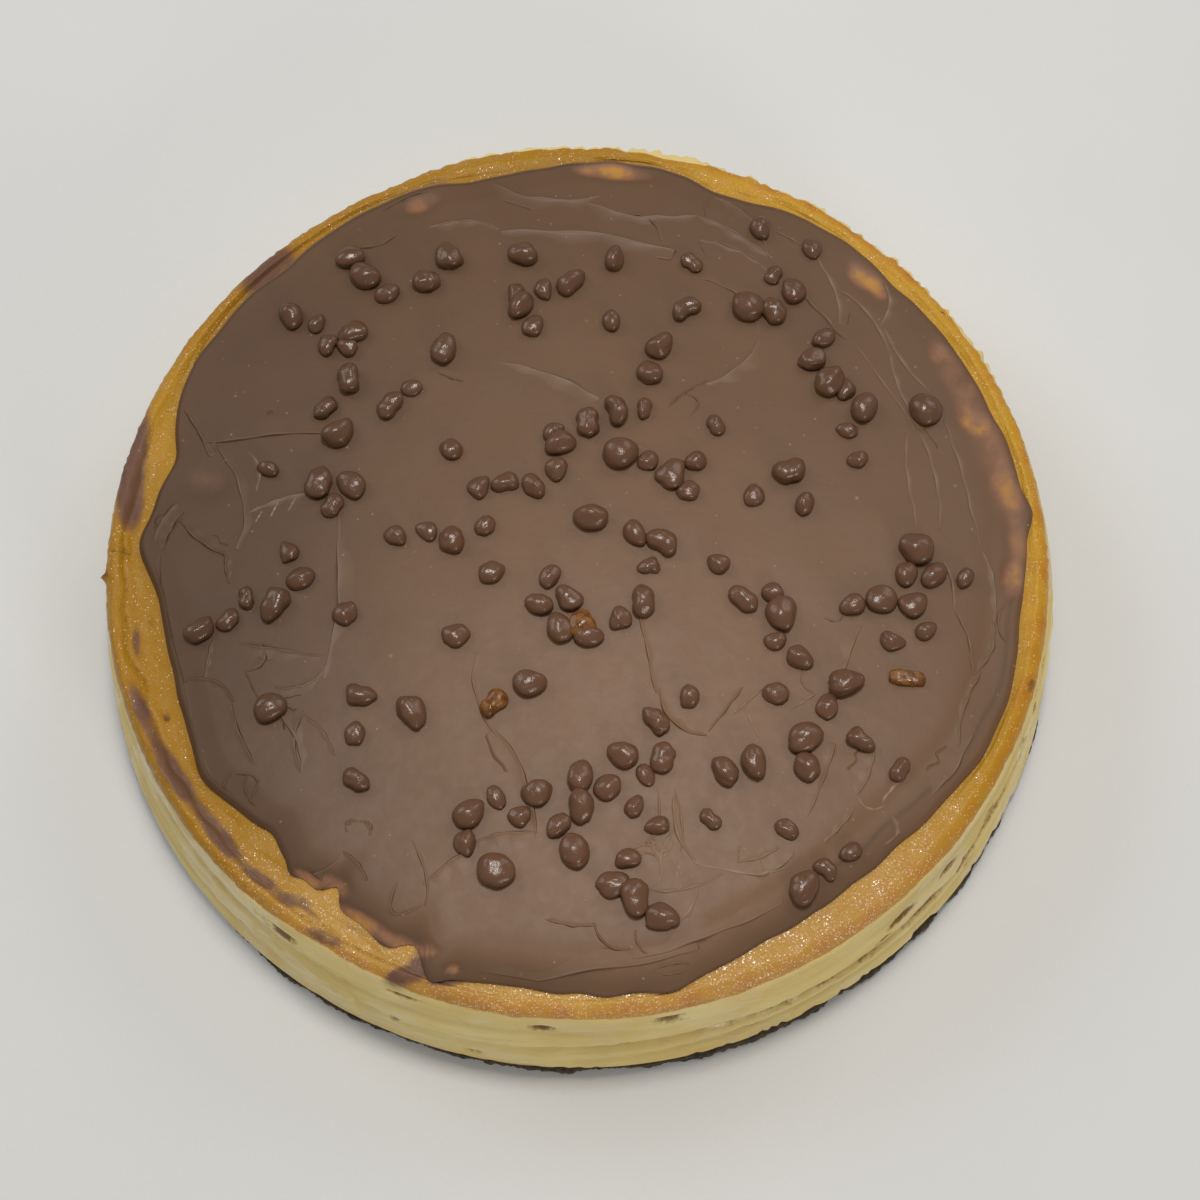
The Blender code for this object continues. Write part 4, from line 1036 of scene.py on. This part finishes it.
from_x, from_y = strokes[:, :1], strokes[:, 1:2]
# In the pale places a stroke is lower and its painted lines are lighter. At the back right they
# are lighter too.
at_pale_place = 0.0 * from_x
for x, y, reach in PALE_PLACES:
    at_pale_place = np.maximum(at_pale_place, 1.1 * np.exp(
        -((from_x - x) / reach) ** 2 - ((from_y - y) / reach) ** 2))
at_pale_place = np.minimum(at_pale_place, 1.0)
pale_lines = np.maximum(at_pale_place, ease(from_x, 30.0, 75.0) * ease(from_y, -45.0, 10.0))
across = np.linspace(1.0, -1.0, STROKE_POINTS - 2)       # from the left edge over the crest
slow = np.sqrt(np.clip(np.sign(across) * lean[:, None], 0.0, 1.0))
distance = THIN_SIDE * np.abs(across) + WIDE_SIDE * slow ** 2 * np.abs(across) ** 2.2
offset = (np.sign(across) * distance)[:, None] * (0.45 + 0.55 * swell[..., None])
steep_form = 1.0 - ease(distance, 0.04 * MM, STEEP_FALL)
slow_form = (1.0 - np.abs(across) ** 1.3) ** 2
crest = (steep_form + (slow_form - steep_form) * slow) * height[:, None] * MM * STROKE_RISE
crest = crest * (1.0 - 0.50 * at_pale_place)
top = middle[:, :, None] + offset[..., None] * left[:, :, None]
rise = crest[:, None] * swell[..., None] - STROKE_SINK
below = top[:, :, [-1, 0]]
ring_places = np.concatenate([top, below], axis=2)
ring_rise = np.concatenate([rise, np.full(below.shape[:-1], -STROKE_DEPTH)], axis=2)
from_middle = np.hypot(ring_places[..., 0], ring_places[..., 1])
furthest = spread_edge_at(np.arctan2(ring_places[..., 1], ring_places[..., 0])) - STROKE_INSET
ring_places *= np.minimum(1.0, furthest / from_middle)[..., None]
ring_rise = ring_rise * ease(furthest - from_middle, -3.0 * MM, 1.0 * MM)
stroke_rings = np.concatenate([ring_places, (spread_height(ring_places[..., 0], ring_places[..., 1])
                                             + ring_rise)[..., None]], axis=-1)
# Fold is 1 in the painted shade at the foot of a steep side, fainter where the stroke hardly leans,
# and below 0 in the painted highlight along the crest and down the slow side
steep_side = np.where(across * np.where(lean[:, None] < 0.0, -1.0, 1.0) > 0.0, 0.15, 1.0)
painted_shade_line = np.exp(-((distance - FOOT_LINE) / FOOT_HALF_WIDTH) ** 2) * (1.0 - slow) * steep_side
crest_width = CREST_HALF_WIDTH * (1.0 + 0.6 * pale_lines)
fold = (painted_shade_line * (0.80 + 0.20 * np.sqrt(np.abs(lean[:, None]))) * (1.0 - 0.62 * pale_lines)
        * (1.0 - 0.60 * at_pale_place)
        - (0.30 + 0.42 * pale_lines + 0.22 * at_pale_place) * np.exp(-(distance / crest_width) ** 2)
        - 0.18 * slow * (1.0 - np.abs(across)))
fold = np.concatenate([fold, np.zeros((len(strokes), 2))], axis=1)[:, None] * swell[..., None]
# The strokes carry their painted lines and the spread's painted light by place
spatula_strokes = closed_bodies("spatula_strokes", stroke_rings, spread_look, {
    "fold": fold, "painted_light": painted_light_at(stroke_rings[..., 0], stroke_rings[..., 1]),
    "dull": dullness_at(stroke_rings[..., 0], stroke_rings[..., 1])})
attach(spatula_strokes, "root")
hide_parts("chocolate_top")

# ---------------------------------------------------------------------------------------------
# Coated nuggets. Small lumpy nuggets in milk chocolate, tumbled so that the coat is smooth and
# slightly shiny, strewn singly and in clumps and pressed a little into the spread.
# Single ones at x, y in mm, and clumps at x, y in mm with how many touch there
SINGLE_NUGGETS = (
    (55, 101), (-38, 91), (-16, 91), (11, 90), (34, 89), (70, 94), (-45, 83), (10, 69), (32, 73),
    (-67, 61), (-39, 60), (24, 61), (-66, 50), (21, 52), (-73, 41), (3, 36), (40, 35), (100, 39),
    (-69, 33), (-36, 28), (-7, 33), (-88, 22), (-28, 16), (60, 20), (80, 24), (4, 6), (31, 14),
    (50, 13), (64, 10), (-81, -4), (-26, 4), (-77, -12), (-24, -10), (39, -8), (-64, -22),
    (-34, -29), (-13, -43), (90, -42), (-83, -50), (-59, -46), (-45, -51), (-23, -49), (21, -54),
    (30, -47), (54, -46), (-60, -57), (23, -64), (76, -60), (-59, -70), (86, -68), (35, -81),
    (55, -84), (-21, -95), (86, -31), (62, -105))
NUGGET_CLUMPS = (
    (-62, 85, 3), (-10, 80, 3), (-15, 71, 2), (61, 82, 2), (-75, 67, 4), (54, 73, 2),
    (71, 56, 3), (-51, 45, 2), (15, 40, 2), (79, 40, 3), (-11, 21, 4), (23, 23, 4),
    (-69, 15, 3), (-43, 1, 3), (20, -3, 3), (-94, -22, 4), (-5, -19, 4), (-1, -28, 2),
    (15, -22, 2), (50, -18, 2), (98, -10, 4), (87, -22, 4), (57, -30, 3), (70, -47, 2),
    (61, -63, 2), (15, -66, 2), (18, -80, 2), (43, -67, 2), (-29, -83, 2), (3, -73, 3),
    (-16, -76, 3), (-3, -86, 2), (11, -95, 2), (18, -105, 2), (65, -95, 3))
SHORTEST_NUGGET = 6.4 * MM
LONGEST_NUGGET = 10.4 * MM
NUGGET_WIDTH = (0.68, 0.90)      # least and most, as shares of its length
NUGGET_HEIGHT = (0.50, 0.66)     # also
NUGGET_LUMP = 0.052              # swing of its broad lumps
FINE_LUMP_COATED = 0.018         # swing of the finer lumps of a coated one
# How strongly nuggets taper, are pinched and bend: least, most and the share of them that do
NUGGET_QUIRKS = ((0.08, 0.24, 0.50), (0.12, 0.28, 0.22), (0.08, 0.20, 0.3))
NUGGET_SPACING = 8.2 * MM
NUGGET_SINK = 1.1 * MM
NUGGET_SEED = 28
SHAPE_SEED = 43
NUGGET_RINGS = 19
NUGGET_SIDES = 26
BARE_NUGGETS = ((0, -24), (-23, -49), (90, -42))      # the nuggets nearest to these have no coat
# The coat in painted shade and in painted light, between which each nugget is coloured by place
COAT_IN_PAINTED_SHADE = (0.097, 0.046, 0.024)
COAT_IN_PAINTED_LIGHT = (0.145, 0.068, 0.035)
BAR_HALVES = (5.0 * MM, 2.2 * MM, 1.6 * MM)     # the last bare nugget is a small flat bar
BAR_TURN = math.radians(-8.0)
BAR_BLOCKINESS = 0.45

draw = np.random.default_rng(NUGGET_SEED)
places = [np.array(place, dtype=float) * MM for place in SINGLE_NUGGETS]
for x, y, count in NUGGET_CLUMPS:
    # a clump grows nugget by nugget: each touches an earlier one and keeps off the others
    clump = [np.zeros(2)]
    while len(clump) < count:
        turn = draw.uniform(0.0, 2.0 * math.pi)
        beside = clump[draw.integers(len(clump))]
        tried = beside + NUGGET_SPACING * np.array((math.cos(turn), math.sin(turn)))
        if all(np.hypot(*(tried - other)) > 0.95 * NUGGET_SPACING for other in clump):
            clump.append(tried)
    middle_of_clump = np.mean(clump, axis=0)
    places.extend(np.array((x, y)) * MM + spot - middle_of_clump for spot in clump)

halves, turns, lumps = [], [], []
for place in places:
    long_side = SHORTEST_NUGGET + (LONGEST_NUGGET - SHORTEST_NUGGET) * draw.random() ** 1.5
    halves.append(0.5 * long_side * np.array(
        (1.0, draw.uniform(*NUGGET_WIDTH), draw.uniform(*NUGGET_HEIGHT))))
    turns.append(draw.uniform(0.0, 2.0 * math.pi))
    lumps.append(draw.normal(0.0, 1.0, (3, 3)))
places, halves, turns, lumps = map(np.array, (places, halves, turns, lumps))
bare = [int(np.argmin(np.hypot(*(places - np.array(spot) * MM).T))) for spot in BARE_NUGGETS]
halves[bare[-1]], turns[bare[-1]] = BAR_HALVES, BAR_TURN
allowed = smooth_round(SPREAD_EDGE, np.arctan2(places[:, 1], places[:, 0]) % (2.0 * math.pi)) * MM
allowed = allowed - halves[:, 0] - SPREAD_EDGE_ROUNDING
places *= np.minimum(1.0, allowed / np.hypot(*places.T))[:, None]


def nugget_rings(chosen, roughly):
    """Rings of the chosen nuggets: an egg with broad and fine lumps, some pinched, bent or
    pointed, turned about the upright and pressed into the spread.

    Radius is the egg's times 1 plus the sum of sines of the direction; roughly adds finer lumps.
    """
    shape = np.random.default_rng(SHAPE_SEED)
    count = len(places)
    polar = np.linspace(0.0, math.pi, NUGGET_RINGS)[:, None]
    side = circle(NUGGET_SIDES)
    unit = np.stack([np.cos(side) * np.sin(polar), np.sin(side) * np.sin(polar),
                     -np.cos(polar) + 0.0 * side], axis=-1)
    swell = 1.0 + NUGGET_LUMP * np.sin(1.9 * np.einsum("rsk,njk->nrsj", unit, lumps)).sum(axis=-1)
    finer = shape.normal(0.0, 1.0, (count, 5, 3))
    swell = swell + roughly * np.sin(3.6 * np.einsum("rsk,njk->nrsj", unit, finer)).sum(axis=-1)
    taper, pinch, bend = (shape.uniform(low, high, (count, 1, 1)) * (shape.random((count, 1, 1)) < some)
                          for low, high, some in NUGGET_QUIRKS)
    power = np.ones((count, 1, 1, 1))
    power[bare[-1]] = 1.0 - BAR_BLOCKINESS
    body = np.sign(unit) * np.abs(unit) ** power * halves[:, None, None, :] * swell[..., None]
    along = unit[None, ..., 0]
    waist = (1.0 - taper * along) * (1.0 - pinch * np.exp(-(along / 0.35) ** 2))
    x = body[..., 0]
    y = body[..., 1] * waist + bend * halves[:, 1, None, None] * (2.0 * along ** 2 - 1.0)
    z = body[..., 2] * (1.0 - 0.5 * (1.0 - waist))
    cos, sin = np.cos(turns)[:, None, None], np.sin(turns)[:, None, None]
    ground = spread_height(places[:, 0], places[:, 1]) + halves[:, 2] - NUGGET_SINK
    rings = np.stack([x * cos - y * sin + places[:, 0, None, None],
                      x * sin + y * cos + places[:, 1, None, None],
                      z + ground[:, None, None]], axis=-1)
    return rings[chosen]


coated = np.setdiff1d(np.arange(len(places)), bare)
coat_look = chocolate_look("chocolate_coat", COAT_IN_PAINTED_SHADE, COAT_IN_PAINTED_LIGHT, 0.40, 0.20, 1.0 * MM, 0.13 * MM)
coated_rings = nugget_rings(coated, FINE_LUMP_COATED)
# The nuggets take the spread's painted light and shade by place
coated_nuggets = closed_bodies("coated_nuggets", coated_rings, coat_look, {
    "painted_light": painted_light_at(coated_rings[..., 0], coated_rings[..., 1])})
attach(coated_nuggets, "root")
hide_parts("chocolate_top")

# ---------------------------------------------------------------------------------------------
# Bare caramel nuggets. A few of the same nuggets without their coat: rough, glassy, brown
# caramel lying among the coated ones.
CARAMEL = (0.12, 0.042, 0.008)
CARAMEL_LIGHT = (0.235, 0.090, 0.015)
FINE_LUMP_BARE = 0.035           # swing of the finer lumps of a bare one

caramel_look, tree, shader, position = new_look("bare_caramel", Specular_IOR_Level=0.4)
toffee = mottled(tree, position, 2.2 * MM, 0.8)
lumpy = from_group(tree, crumb, {"Vector": position, "Size": 0.9 * MM})["Height"]
join_up(tree, shader, blend(tree, toffee, CARAMEL, CARAMEL_LIGHT),
        spread_out(tree, toffee, 0.0, 1.0, 0.20, 0.36), lumpy, 0.10 * MM)
caramel_nuggets = closed_bodies("caramel_nuggets", nugget_rings(bare, FINE_LUMP_BARE), caramel_look)
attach(caramel_nuggets, "root")
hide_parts("chocolate_top")
